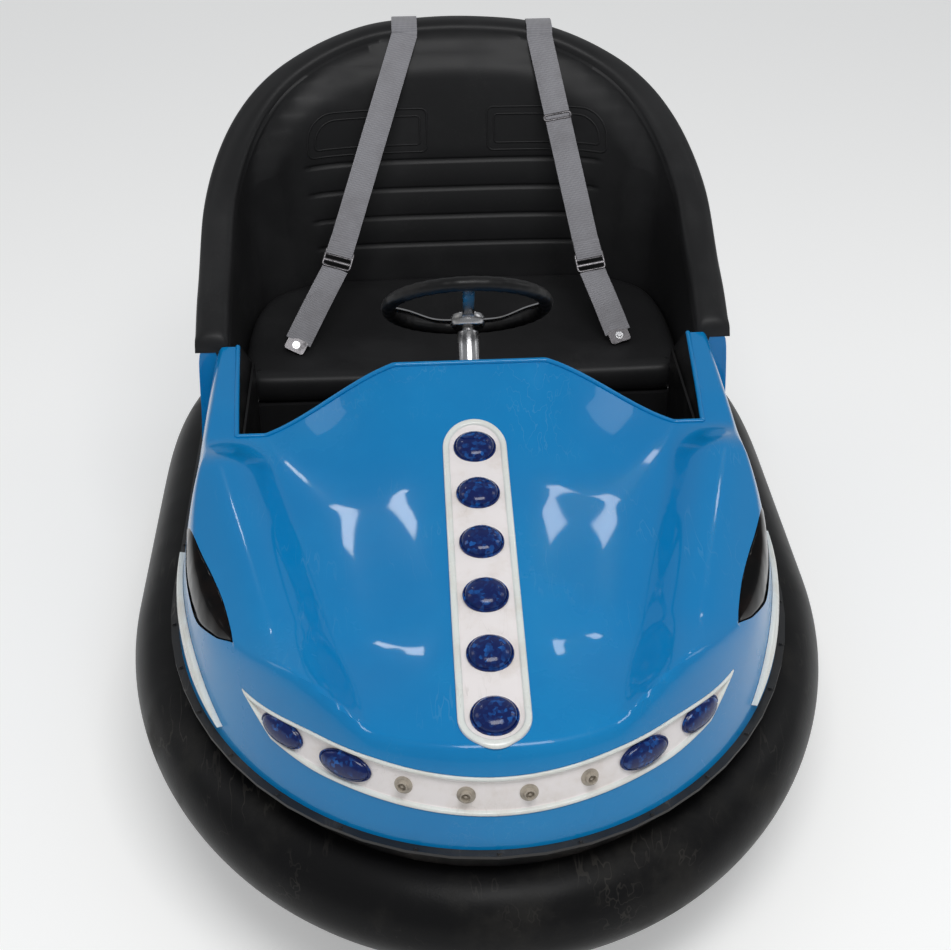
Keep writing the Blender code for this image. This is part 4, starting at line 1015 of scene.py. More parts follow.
@dataclass
class FrontBody:
    """The blue front moulding with its strip, lamps, inserts and trims."""

    skin: FrontSkin = field(default_factory=FrontSkin)
    mouth: Mouth = field(default_factory=Mouth)
    hood_lamp: tuple[float, float, float] = (0.034, 0.034, 0.0175)
    front_lamp: tuple[float, float, float] = (0.042, 0.0215, 0.0126)
    hood_lamp_ys: tuple[float, ...] = (-0.201, -0.305, -0.410, -0.517, -0.627, -0.737)
    front_lamp_xs: tuple[tuple[str, float], ...] = (("outer", 0.298), ("inner", 0.208))
    holder_xs: tuple[float, ...] = (-0.128, -0.043, 0.043, 0.128)
    panel_half: float = 0.051
    panel_ends: Point2 = (-0.787, -0.148)
    plate_depth: float = -0.0042
    trim_top: tuple[Point2, ...] = ((-0.190, 0.392), (-0.280, 0.396), (-0.380, 0.390), (-0.470, 0.372),
                                    (-0.575, 0.338))
    trim_low: tuple[Point2, ...] = ((-0.190, 0.392), (-0.280, 0.374), (-0.380, 0.362), (-0.470, 0.346),
                                    (-0.575, 0.338))

    def build(self) -> None:
        """Make every piece and fix it to the car."""
        self.build_shell()
        self.build_edge()
        self.build_strip()
        self.build_panel()
        for side, word in ((-1, "right"), (1, "left")):
            self.build_headlight(side, word)
            self.build_trim(side, word)

    def build_shell(self) -> None:
        """The moulding with its three openings."""
        piece = make_piece("front_body_moulding", self.skin.shell(), BLUE)
        top, low = self.mouth.edges(0.0)
        cutters = [prism([tuple(p) for p in top + low[::-1]], -1.0, -0.50, "xzy")]
        for side in (-1, 1):
            inner, outer = Leaf(side).edges(0.0)
            cutters.append(prism([tuple(p) for p in inner + outer[::-1][1:-1]], 0.38, 0.60))
        cut(piece, "DIFFERENCE", cutters)
        piece.data.set_sharp_from_angle(angle=math.radians(38))
        hand_over(piece, "root", "body_blue", "front_body")

    def build_edge(self) -> None:
        """The rolled lip along the cockpit's edge."""
        path = [row[0] for row in self.skin.rows]
        ups = [line[0] for line in self.skin.normals]
        bm = sweep(path, round_section(0.0085, 0.0075, 14), ups)
        hand_over(make_piece("cockpit_edge_lip", bm, BLUE), "root", "body_blue")

    def build_strip(self) -> None:
        """The white strip in the nose with four lenses and four bare holders."""
        profile = [(-0.0035, -0.0066), (0.0005, -0.0066), (0.0007, 0.0004), (0.0014, 0.0016), (0.0030, 0.0022),
                   (0.0052, 0.0018), (0.0066, 0.0004), (0.0074, self.plate_depth + 0.001),
                   (0.0086, self.plate_depth)]
        bm = plate(self.mouth.edges, self.skin.ahead, profile, -0.0105, 10)
        piece = make_piece("front_lamp_strip_frame", bm, WHITE, 50)
        hand_over(self.dress_plate(piece), "root", "panel_white", "front_lamp_strip")
        for side, word in ((-1, "right"), (1, "left")):
            for label, x in self.front_lamp_xs:
                spot, normal = self.skin.at((side * x, -2.0, self.mouth.middle(x)), (0.0, 1.0, 0.0))
                spot = spot + normal * (self.plate_depth - 0.0006)
                bm = dome(spot, normal, self.front_lamp)
                name = "front_lamp_%s_%s" % (word, label)
                hand_over(make_piece("lens_" + name, bm, LENS, 30), "root", "lamp_blue", name)
        cup = [(0.0, -0.001), (0.0130, -0.001), (0.0130, 0.0008), (0.0105, 0.0016), (0.0086, 0.0020),
               (0.0080, 0.0085), (0.0066, 0.0090), (0.0058, 0.0080), (0.0054, 0.0030), (0.0024, 0.0030),
               (0.0020, 0.0058), (0.0, 0.0062)]
        for number, x in enumerate(self.holder_xs, 1):
            spot, normal = self.skin.at((x, -2.0, self.mouth.middle(x)), (0.0, 1.0, 0.0))
            place = axis_matrix(spot + normal * self.plate_depth, normal)
            piece = make_piece("bare_lamp_holder_%d" % number, lathe(cup, place, 28), SOCKET, 35)
            hand_over(piece, "root", "bright_steel")

    def dress_plate(self, piece: Piece) -> Piece:
        """Give the sunk face of a lamp plate its warmer white."""
        piece.data.materials.append(PLATE)
        for face in piece.data.polygons:
            spot, normal, _, _ = self.skin.tree.find_nearest(face.center)
            outward = normal if normal.dot(face.normal) > 0 else -normal
            if (face.center - spot).dot(outward) < self.sunk_height(piece):
                face.material_index = 1
        return piece

    def sunk_height(self, piece: Piece) -> float:
        """Height under which a plate's face counts as sunk."""
        return self.plate_depth + 0.0006 if piece.name.startswith("front") else 0.0026

    def slot_edges(self, inset: float) -> Edges:
        """The hood panel's two sides from its rear end to its front end."""
        half = self.panel_half - inset
        front, rear = self.panel_ends[0] + self.panel_half, self.panel_ends[1] - self.panel_half
        side = [Vector((half * math.sin(turn), rear + half * math.cos(turn)))
                for turn in (math.pi / 2 * k / 16 for k in range(17))]
        side += [Vector((half, rear + (front - rear) * k / 60)) for k in range(1, 60)]
        side += [Vector((half * math.cos(turn), front - half * math.sin(turn)))
                 for turn in (math.pi / 2 * k / 16 for k in range(17))]
        return side, [Vector((-p.x, p.y)) for p in side]

    def build_panel(self) -> None:
        """The white panel down the hood with its six lenses."""
        profile = [(0.0, 0.0006), (0.0002, 0.0036), (0.0010, 0.0050), (0.0026, 0.0057), (0.0080, 0.0056),
                   (0.0096, 0.0046), (0.0104, 0.0028), (0.0116, 0.0022)]
        bm = plate(self.slot_edges, self.skin.above, profile, 0.0003, 16)
        piece = make_piece("hood_panel_frame", bm, WHITE, 50)
        hand_over(self.dress_plate(piece), "root", "panel_white", "hood_lamp_panel")
        for number, y in enumerate(self.hood_lamp_ys, 1):
            spot, normal = self.skin.at((0.0, y, 2.0), (0.0, 0.0, -1.0))
            bm = dome(spot + normal * 0.0016, normal, self.hood_lamp)
            name = "hood_lamp_%d" % number
            hand_over(make_piece("lens_" + name, bm, LENS, 30), "root", "lamp_blue", name)

    def build_headlight(self, side: int, word: str) -> None:
        """The glossy dark insert in a fender."""
        profile = [(-0.0035, -0.0066), (0.0004, -0.0066), (0.0006, -0.0024), (0.0022, -0.0012),
                   (0.0060, -0.0004)]
        bm = plate(Leaf(side).edges, self.skin.above, profile, -0.0105, 10, 0.0016)
        piece = make_piece("headlight_insert_" + word, bm, GLOSS_BLACK, 45)
        hand_over(piece, "root", "gloss_black", "headlight_" + word)

    def build_trim(self, side: int, word: str) -> None:
        """The white bead low on a side."""
        top, low = through(self.trim_top, 71)[1:-1], through(self.trim_low, 71)[1:-1]

        def edges(inset: float) -> Edges:
            """Both edges drawn in by a share of the half width."""
            middle = [a.lerp(b, 0.5) for a, b in zip(top, low)]
            return ([m.lerp(a, 1.0 - inset) for m, a in zip(middle, top)],
                    [m.lerp(b, 1.0 - inset) for m, b in zip(middle, low)])

        def place(flat: Vector, height: float) -> Vector:
            """A point at the side of y and z at a height over the face."""
            spot, normal = self.skin.at((side * 2.0, flat.x, flat.y), (-side, 0.0, 0.0))
            return spot + normal * height

        profile = [(0.0, 0.0012), (0.04, 0.0040), (0.14, 0.0064), (0.32, 0.0082), (0.55, 0.0092)]
        piece = make_piece("side_trim_bead_" + word, plate(edges, place, profile, 0.0004, 6), WHITE, 60)
        hand_over(piece, "root", "panel_white", "side_trim_" + word)


# ---- bumper and tail -----------------------------------------------------------------------------
@dataclass(frozen=True)
class Plan:
    """A plan outline of the car: half ellipse in front, straight sides, squarer round behind."""

    half_width: float
    front_y: float
    rear_y: float
    front_round_y: float
    rear_round_y: float
    rear_power: float

    def stations(self, count: int, inset: float = 0.0) -> list[tuple[Vector, Vector]]:
        """Even places once round from the middle of the nose.

        Args:
            count: how many.
            inset: how far inside the outline they lie.
        Returns:
            Each place with its outward direction.
        """
        raw = []
        for k in range(2400):
            turn = 2 * math.pi * k / 2400
            across, along = -math.sin(turn), -math.cos(turn)
            if along <= 0:
                raw.append((self.half_width * across,
                            self.front_round_y + (self.front_round_y - self.front_y) * along))
            else:
                power = 2.0 / self.rear_power
                raw.append((self.half_width * math.copysign(abs(across) ** power, across),
                            self.rear_round_y + (self.rear_y - self.rear_round_y) * along ** power))
        table = np.array(raw + raw[:1])
        run = np.concatenate([[0.0], np.cumsum(np.linalg.norm(np.diff(table, axis=0), axis=1))])
        want = run[-1] * np.arange(count) / count
        places = [Vector(pair) for pair in zip(np.interp(want, run, table[:, 0]),
                                               np.interp(want, run, table[:, 1]))]
        result = []
        for k, place in enumerate(places):
            along = (places[(k + 1) % count] - places[k - 1]).normalized()
            inward = Vector((along.y, -along.x))
            if inward.dot(place - Vector((0.0, 0.5 * (self.front_round_y + self.rear_round_y)))) > 0:
                inward = -inward
            result.append((place + inward * inset, -inward))
        return result


BODY_PLAN = Plan(0.494, -0.824, 0.830, -0.200, 0.300, 3.2)
BUMPER_PLAN = Plan(0.588, -0.893, 0.893, -0.106, 0.250, 3.0)


@dataclass
class Bumper:
    """The rubber ring and the bolts of the flange that carries the body."""

    bottom_z: float = 0.120
    top_z: float = 0.276
    depth: float = 0.081
    flange_z: float = 0.3197
    bolts: int = 40

    def build(self) -> None:
        """Make the ring and the bolt row."""
        half, middle = 0.5 * (self.top_z - self.bottom_z), 0.5 * (self.top_z + self.bottom_z)
        section = []
        for k in range(41):
            turn = -math.pi / 2 + math.pi * k / 40
            section.append((self.depth * (1.0 - math.cos(turn)), half * math.sin(turn)))
        rings = [[Vector((*(place - outward * inset), middle + rise)) for inset, rise in section]
                 for place, outward in BUMPER_PLAN.stations(420)]
        piece = make_piece("rubber_bumper_ring", loft(rings, closed=True), RUBBER, 60)
        hand_over(piece, "root", "bumper_rubber", "bumper_ring")
        spots = [Spot(Vector((*(place + outward * 0.0070), self.flange_z)), UP)
                 for place, outward in BODY_PLAN.stations(self.bolts)]
        hand_over(row_of("flange_bolts", Repeat.BOLT, spots, (0.0034, 0.0034, 0.0026), FRAME_PAINT, 0.03, 5),
                  "root", "frame_paint")


@dataclass
class Tail:
    """The blue tail moulding round the back of the seat."""

    start_y: float = 0.205
    bottom_z: float = 0.320
    top_z: float = 0.5615
    wall: float = 0.006

    def build(self) -> None:
        """Make the moulding, its front ends closed by a flange behind the front body's sills."""
        path = [(p, o) for p, o in BODY_PLAN.stations(420) if p.y > self.start_y + 0.002]
        ends = [(Vector((side * BODY_PLAN.half_width, self.start_y + 0.0012)), Vector((side, 0.0)))
                for side in (-1, 1)]
        outer = through([(0.0, self.bottom_z), (-0.003, 0.370), (-0.007, 0.420), (-0.0098, 0.480),
                         (-0.013, 0.530), (-0.0165, 0.548), (-0.0235, self.top_z - 0.0025)], 16)
        section = [tuple(p) for p in outer] + [(-0.027, self.top_z), (-0.038, self.top_z),
                                               (-0.038, self.top_z - self.wall),
                                               (-0.029, self.top_z - self.wall)]
        section += [(reach - self.wall, z) for reach, z in reversed(section[:14])]
        rings = [[Vector((*(place + outward * reach), z)) for reach, z in section]
                 for place, outward in [ends[0]] + path + [ends[1]]]
        bm = loft(rings)
        for side in (-1, 1):
            half = BODY_PLAN.half_width
            flange = [(side * (half + reach - 0.5 * self.wall), z) for reach, z in section[:16]]
            flange += [(side * (half - 0.010 - 0.2 * (z - self.bottom_z)), z)
                       for z in (section[15][1], self.bottom_z)]
            add_to(bm, prism(flange, self.start_y + 0.0018, self.start_y + 0.0048, "xzy"))
        hand_over(make_piece("tail_moulding", bm, BLUE, 45), "root", "body_blue", "rear_body")


# ---- seat ----------------------------------------------------------------------------------------
@dataclass
class Seat:
    """The moulded seat with its rolled rim, and the cushion in it."""

    half_width: float = 0.455
    rear_y: float = 0.790
    round_y: float = 0.300
    front_y: float = 0.2055
    band: float = 0.031
    floor_z: float = 0.4155
    bottom_z: float = 0.562
    pad: float = 0.0256
    top_z: float = 0.970
    front_heights: tuple[Point2, ...] = ((0.2055, 0.576), (0.250, 0.602))
    heights: tuple[Point2, ...] = ((0.0, 0.630), (10.0, 0.722), (20.0, 0.768), (30.0, 0.811), (40.0, 0.850),
                                   (50.0, 0.884), (60.0, 0.911), (70.0, 0.937), (80.0, 0.960), (90.0, 0.970))
    grooves: tuple[float, ...] = (0.715, 0.660, 0.605, 0.550)
    groove_half_width: float = 0.345
    groove_depth: float = 0.0030
    count: int = 301
    inside: BVHTree | None = None

    def stations(self) -> list[tuple[Vector, Vector, float, float]]:
        """Even stations along the rim from its front end at -X: place, outward, height, share of the turn."""
        half = [(-self.half_width, y, z, 0.0) for y, z in self.front_heights]
        degrees = np.arange(0.0, 90.01, 0.5)
        tops = np.interp(degrees, [d for d, _ in self.heights], [z for _, z in self.heights])
        for degree, top in zip(degrees, tops):
            turn = math.radians(degree)
            c, s = max(0.0, math.cos(turn)) if degree < 90 else 0.0, math.sin(turn)
            half.append((-self.half_width * c ** 0.625,
                         self.round_y + (self.rear_y - self.round_y) * s ** 0.625, top, s))
        table = np.array(half + [(-x, y, z, s) for x, y, z, s in reversed(half[:-1])])
        run = np.concatenate([[0.0], np.cumsum(np.linalg.norm(np.diff(table[:, :2], axis=0), axis=1))])
        want = np.linspace(0.0, run[-1], self.count)
        x, y, z, s = (np.interp(want, run, table[:, k]) for k in range(4))
        reach = 9
        kernel = np.hanning(2 * reach + 3)[1:-1]
        padded = np.concatenate([2 * z[0] - z[reach:0:-1], z, 2 * z[-1] - z[-2:-reach - 2:-1]])
        z = np.minimum(np.convolve(padded, kernel / kernel.sum(), "valid"), self.top_z)
        result = []
        for k in range(self.count):
            a, b = max(k - 1, 0), min(k + 1, self.count - 1)
            along = Vector((x[b] - x[a], y[b] - y[a])).normalized()
            result.append((Vector((x[k], y[k])), Vector((-along.y, along.x)), float(z[k]), float(s[k])))
        return result

    def wall_lines(self) -> list[tuple[float, float]]:
        """Heights of the inner wall's lines from the top down, each with its share of a groove's depth."""
        lines = [(z, 0.0) for z in (0.932, 0.915, 0.895, 0.870, 0.845, 0.820, 0.795, 0.770, 0.745)]
        for groove in self.grooves:
            lines += [(groove + 0.0075, 0.0), (groove + 0.0045, 0.25), (groove + 0.002, 1.0),
                      (groove - 0.002, 1.0), (groove - 0.0045, 0.25), (groove - 0.0075, 0.0),
                      (groove - 0.0275, 0.0)]
        return lines + [(0.500, 0.0), (0.470, 0.0), (0.440, 0.0)]

    def section(self, x: float, height: float, share: float, along: float) -> list[Point2]:
        """The moulding's section as outward reach and height, once round."""
        band, lean = self.band, 0.012 + 0.105 * share ** 2
        end = 1.0 - min(1.0, along / 0.016)
        drop = 0.013 * (1.0 - math.sqrt(max(0.0, 1.0 - end * end)))
        height -= drop
        outer_z = max(self.bottom_z + 0.003 - drop, height - 0.025)
        inner_z = height - 0.023
        dent = 0.006 * smooth_step((height - self.bottom_z - 0.07) / 0.12)
        points = [(band, self.bottom_z - drop)]
        if dent > 0:
            points += [(band, self.bottom_z + 0.008), (band - 0.3 * dent, self.bottom_z + 0.013)]
        else:
            points += [(band, self.bottom_z + 0.0002 - drop), (band, self.bottom_z + 0.0004 - drop)]
        low, high = points[-1][1] + 0.0005, max(points[-1][1] + 0.002, outer_z - 0.006)
        points += [(band - dent * min(1.0, 3 * min(k, 8 - k) / 8 + 0.3), low + (high - low) * k / 8)
                   for k in range(9)]
        for k in range(19):
            turn = math.pi * k / 18
            c, s = math.cos(turn), abs(math.sin(turn)) ** 0.78
            foot = outer_z if c > 0 else inner_z
            points.append((band * math.copysign(abs(c) ** 0.78, c), foot + (height - foot) * s))
        full = smooth_step((share - 0.36) / 0.22)
        carve = self.groove_depth * smooth_step((self.groove_half_width + 0.012 - abs(x)) / 0.024)
        for number, (z, groove) in enumerate(self.wall_lines()):
            z = min(z, height - 0.027 - 0.0013 * number)
            fall = (height - z) / (height - self.floor_z)
            thick = self.pad * full * smooth_step((height - 0.040 - z) / 0.040)
            reach = -band - lean * fall - thick + carve * groove * (z < height - 0.1)
            points.append((reach, z))
        points += [(-band - lean - self.pad * full, self.floor_z), (-band - lean + 0.012, self.floor_z),
                   (-band * 0.2, self.bottom_z - drop)]
        return points

    def build(self) -> None:
        """Make the moulding, its raised outlines and the cushion."""
        stations = self.stations()
        run = running_length([place for place, *_ in stations])
        length = run[-1]
        rings = []
        for k, (place, outward, height, share) in enumerate(stations):
            ends = min(run[k], length - run[k])
            rings.append([Vector((*(place + outward * reach), z))
                          for reach, z in self.section(place.x, height, share, ends)])
        piece = make_piece("seat_moulding", loft(rings), SEAT_BLACK, 42)
        mesh = piece.data
        self.inside = BVHTree.FromPolygons([v.co.copy() for v in mesh.vertices],
                                           [tuple(p.vertices) for p in mesh.polygons])
        hand_over(piece, "root", "moulded_black", "seat_shell", "seat_back")
        self.build_outlines()
        self.build_cushion(stations)

    def on_back(self, x: float, z: float, lift: float = 0.0) -> tuple[Vector, Vector]:
        """A point on the backrest's face and the way it faces."""
        spot, normal, _, _ = self.inside.ray_cast(Vector((x, 0.35, z)), Vector((0.0, 1.0, 0.0)))
        if normal.y > 0:
            normal = -normal
        return spot + normal * lift, normal

    def build_outlines(self) -> None:
        """Raised double outlines of the two head pads on the backrest."""
        bm = bmesh.new()
        for left, right, round_side in ((-0.286, -0.050, -1), (0.070, 0.305, 1)):
            for inset in (0.0, 0.014):
                low, high = 0.733 + inset, 0.816 - inset
                a, b = left + inset, right - inset
                big, small = 0.050 - 0.6 * inset, 0.012 - 0.4 * inset
                radii = (big if round_side < 0 else small, small if round_side < 0 else big, small, small)
                corners = ((a, high, 1, -1, math.pi), (b, high, -1, -1, math.pi / 2),
                           (b, low, -1, 1, 0.0), (a, low, 1, 1, -math.pi / 2))
                flat = []
                for radius, (x, z, sx, sz, start) in zip(radii, corners):
                    for k in range(9):
                        turn = start - math.pi / 2 * k / 8
                        flat.append(Vector((x + sx * radius + radius * math.cos(turn),
                                            z + sz * radius + radius * math.sin(turn))))
                fine = []
                for one, two in zip(flat, flat[1:] + flat[:1]):
                    steps = max(1, round((two - one).length / 0.006))
                    fine += [one.lerp(two, k / steps) for k in range(steps)]
                both = [self.on_back(p.x, p.y, -0.0004) for p in fine]
                line = round_section(0.0045, 0.0042, 8)
                add_to(bm, sweep([p for p, _ in both], line, [n for _, n in both], True))
        hand_over(make_piece("head_pad_outlines", bm, SEAT_BLACK, 60), "root", "moulded_black")

    def build_cushion(self, stations: list[tuple[Vector, Vector, float, float]]) -> None:
        """The bench cushion: crowned, rolled at its edges and dished under each rider."""
        foot = []
        for place, outward, _, share in stations:
            full = smooth_step((share - 0.36) / 0.22)
            inner = place - outward * (self.band + 0.012 + 0.105 * share ** 2 + self.pad * full + 0.0015)
            if inner.y > 0.260:
                foot.append(inner)
        side_x = self.half_width - self.band - 0.0130
        corners = [p for p in foot if abs(p.x) < side_x]
        corners = [Vector((-side_x, 0.240)), *corners, Vector((side_x, 0.240))]
        table = np.array([tuple(p) for p in corners + corners[:1]])
        run = np.concatenate([[0.0], np.cumsum(np.linalg.norm(np.diff(table, axis=0), axis=1))])
        want = run[-1] * np.arange(220) / 220
        ring = np.stack([np.interp(want, run, table[:, 0]), np.interp(want, run, table[:, 1])], 1)
        for _ in range(14):
            ring = 0.25 * np.roll(ring, 1, 0) + 0.5 * ring + 0.25 * np.roll(ring, -1, 0)
        along = np.roll(ring, -1, 0) - np.roll(ring, 1, 0)
        along /= np.linalg.norm(along, axis=1)[:, None]
        inward = np.stack([-along[:, 1], along[:, 0]], 1)
        centre = ring.mean(0)
        if ((centre - ring) * inward).sum() < 0:
            inward = -inward

        def top(x: float, y: float) -> float:
            """Height of the cushion's face with its two dishes."""
            dish = math.exp(-((abs(x) - 0.20) / 0.12) ** 2 - ((y - 0.43) / 0.13) ** 2)
            return 0.470 + 0.022 * (y - 0.240) / 0.360 + 0.003 - 0.012 * dish

        rings = []
        for inset, drop in ((0.010, None), (0.003, 0.048), (0.0, 0.034), (0.0, 0.022), (0.002, 0.012),
                            (0.006, 0.0058), (0.012, 0.0020), (0.020, 0.0004), (0.030, 0.0)):
            places = ring + inward * inset
            rings.append([Vector((x, y, self.floor_z + 0.0008 if drop is None else top(x, y) - drop))
                          for x, y in places])
        inner = ring + inward * 0.030
        for size in (0.93, 0.86, 0.78, 0.69, 0.6, 0.5, 0.4, 0.3, 0.2, 0.1, 0.0):
            rings.append([Vector((x, y, top(x, y))) for x, y in centre + (inner - centre) * size])
        bm = loft(rings, caps=False)
        bm.verts.ensure_lookup_table()
        bm.faces.new([bm.verts[k] for k in range(220)])
        piece = make_piece("bench_cushion", bm, SEAT_BLACK, 75)
        hand_over(piece, "root", "moulded_black", "seat_cushion")


# ---- belts ---------------------------------------------------------------------------------------
@dataclass
class Belt:
    """One shoulder belt: its strap, adjuster, lower strap and anchor."""

    word: str
    x: float
    adjuster: tuple[float, float, float]
    anchor: tuple[float, float, float]
    slider: float | None = None
    width: float = 0.050
    thick: float = 0.0022
    over_rim: tuple[Point2, ...] = ((1.055, -0.090), (1.055, -0.060), (1.045, -0.026), (0.76, -0.0035),
                                    (0.40, 0.0008), (0.0, 0.0018), (-0.40, 0.0006), (-0.78, -0.0022),
                                    (-1.10, -0.019))

    def build(self, seat: Seat) -> None:
        """Make the belt's pieces."""
        middle, low = Vector(self.adjuster), Vector(self.anchor)
        rim_y, rim_z = self.rim_under(seat)
        over = [Vector((self.x, rim_y + share * seat.band, rim_z + rise)) for share, rise in self.over_rim]
        down = (middle - over[-1]).normalized()
        path = through(over, 40) + [over[-1].lerp(middle - down * 0.012, k / 26) for k in range(1, 27)]
        strap = self.strap("shoulder_strap_" + self.word, path)
        hand_over(strap, "root", "belt_webbing", "belt_" + self.word)
        tail = middle + down * 0.018
        away = (low - tail).normalized()
        face = Vector((1.0, 0.0, 0.0)).cross(away).normalized()
        face = -face if face.z < 0 else face
        path = [tail.lerp(low - away * 0.014, k / 20) + face * (0.003 * math.sin(math.pi * k / 20))
                for k in range(21)]
        strap = self.strap("lower_strap_" + self.word, path)
        hand_over(strap, "root", "belt_webbing", "belt_end_" + self.word)
        self.build_adjuster(middle, down, "adjuster_" + self.word, 0.040, "belt_adjuster_" + self.word)
        if self.slider is not None:
            spot = over[-1].lerp(middle, self.slider)
            self.build_adjuster(spot, down, "strap_slider_" + self.word, 0.016)
        self.build_anchor(low, away)
        self.build_loop(middle, down)

    def rim_under(self, seat: Seat) -> Point2:
        """The seat rim's middle line and top where the belt crosses it."""
        wide = self.x - math.copysign(self.width / 2, self.x)
        stations = [s for s in seat.stations() if s[0].y > seat.round_y + 0.1]
        near = min(stations, key=lambda s: abs(s[0].x - wide))
        return near[0].y, near[2]

    def strap(self, name: str, path: Sequence[Vector], width: float | None = None) -> Piece:
        """A strap along a path, its pattern mapped in metres."""
        half = 0.5 * (width or self.width)
        thick = 0.5 * self.thick
        section = [(-half, -0.4 * thick), (-half + 0.001, -thick), (0.0, -thick), (half - 0.001, -thick),
                   (half, -0.4 * thick), (half, 0.4 * thick), (half - 0.001, thick), (0.0, thick),
                   (-half + 0.001, thick), (-half, 0.4 * thick)]
        ups = []
        for k in range(len(path)):
            along = (path[min(k + 1, len(path) - 1)] - path[max(k - 1, 0)]).normalized()
            across = Vector((1.0, 0.0, 0.0))
            across = (across - along * across.dot(along)).normalized()
            ups.append(across.cross(along).normalized())
        bm = sweep(path, section, ups)
        run = running_length(path)
        bm.verts.index_update()
        layer = bm.loops.layers.uv.new("weave")
        for face in bm.faces:
            for loop in face.loops:
                ring, part = divmod(loop.vert.index, len(section))
                loop[layer].uv = (section[part][0], run[ring])
        return make_piece(name, bm, WEBBING, 50, 1e-6)

    @staticmethod
    def frame_of(spot: Vector, down: Vector) -> Matrix:
        """Axes at a place on the strap: across, along it, and out of it."""
        across = Vector((1.0, 0.0, 0.0))
        across = (across - down * across.dot(down)).normalized()
        face = across.cross(down).normalized()
        if face.y > 0:
            face, across = -face, -across
        turn = Matrix((across, face.cross(across).normalized(), face)).transposed()
        return Matrix.Translation(spot) @ turn.to_4x4()

    def build_adjuster(self, spot: Vector, down: Vector, name: str, length: float, *nodes: str) -> None:
        """A three-bar metal adjuster round the strap."""
        place = self.frame_of(spot, down)
        half_w, half_l, radius = 0.0265, 0.5 * length - 0.0025, 0.005
        corners = rounded(half_w - radius, half_l - radius, radius, radius, 6)
        loop = [place @ Vector((x, y, 0.0)) for x, y in corners]
        bm = sweep(loop, round_section(0.0050, 0.0052, 10, 0.7), place.to_3x3() @ UP, True)
        for along in ((-0.3, 0.3) if length > 0.03 else ()):
            ends = [place @ Vector((sign * half_w, along * length / 2, 0.0012)) for sign in (-1, 1)]
            add_to(bm, sweep(ends, round_section(0.0065, 0.0030, 10, 0.7), place.to_3x3() @ UP))
        hand_over(make_piece("belt_" + name if not nodes else "three_bar_" + name, bm, BELT_METAL, 50),
                  "root", "bright_steel", *nodes)

    def build_loop(self, middle: Vector, down: Vector) -> None:
        """The strap's folded-back end, doubled under the adjuster with its stitching."""
        place = self.frame_of(middle, down)
        upwards = -1.0 if (place.to_3x3() @ Vector((0.0, 1.0, 0.0))).dot(down) > 0 else 1.0
        path = [place @ Vector((0.0, upwards * (0.006 + 0.0036 * k), 0.0046 + 0.0016 * math.sin(k / 3)))
                for k in range(11)]
        hand_over(self.strap("strap_fold_" + self.word, path), "root", "belt_webbing")
        spots = []
        for line in (0.3, 0.75):
            foot = path[0].lerp(path[-1], line)
            face = place.to_3x3() @ UP
            for k in range(-9, 10):
                spots.append(Spot(foot + (place.to_3x3() @ Vector((0.0022 * k, 0.0, 0.0))) + face * 0.0018,
                                  face, place.to_3x3() @ Vector((1.0, 0.0, 0.0))))
        row = row_of("strap_stitches_" + self.word, Repeat.BLOCK, spots, (0.0007, 0.0015, 0.0006), THREAD,
                     0.05, 3)
        hand_over(row, "root", "belt_webbing")

    def build_anchor(self, low: Vector, away: Vector) -> None:
        """The steel plate and bolt that hold the belt's lower end."""
        place = self.frame_of(low - away * 0.006, away)
        outline = rounded(0.014, 0.0085, 0.006, 0.0055, 5)
        rings = [[place @ Vector((x * size, y * size, z)) for x, y in outline]
                 for size, z in ((0.97, -0.0015), (1.0, -0.001), (1.0, 0.001), (0.97, 0.0015))]
        piece = make_piece("anchor_plate_" + self.word, loft(rings), BELT_METAL, 35)
        hand_over(piece, "root", "bright_steel", "belt_anchor_" + self.word)
        spot = Spot(place @ Vector((0.0, 0.0, 0.0016)), place.to_3x3() @ UP)
        hand_over(row_of("anchor_bolt_" + self.word, Repeat.BOLT, [spot], (0.0052, 0.0052, 0.0036), STEEL),
                  "root", "bright_steel")


BELT_METAL = Finish("belt_metal", (96, 94, 96), (66, 64, 66), (0.28, 0.5), metallic=0.85, patch_scale=60.0,
                    grain_depth=0.00002).build()
BELTS = (
    Belt("right", -0.088, (-0.230, 0.450, 0.612), (-0.316, 0.330, 0.4870)),
    Belt("left", 0.178, (0.255, 0.450, 0.592), (0.303, 0.330, 0.4855), 0.36),
)


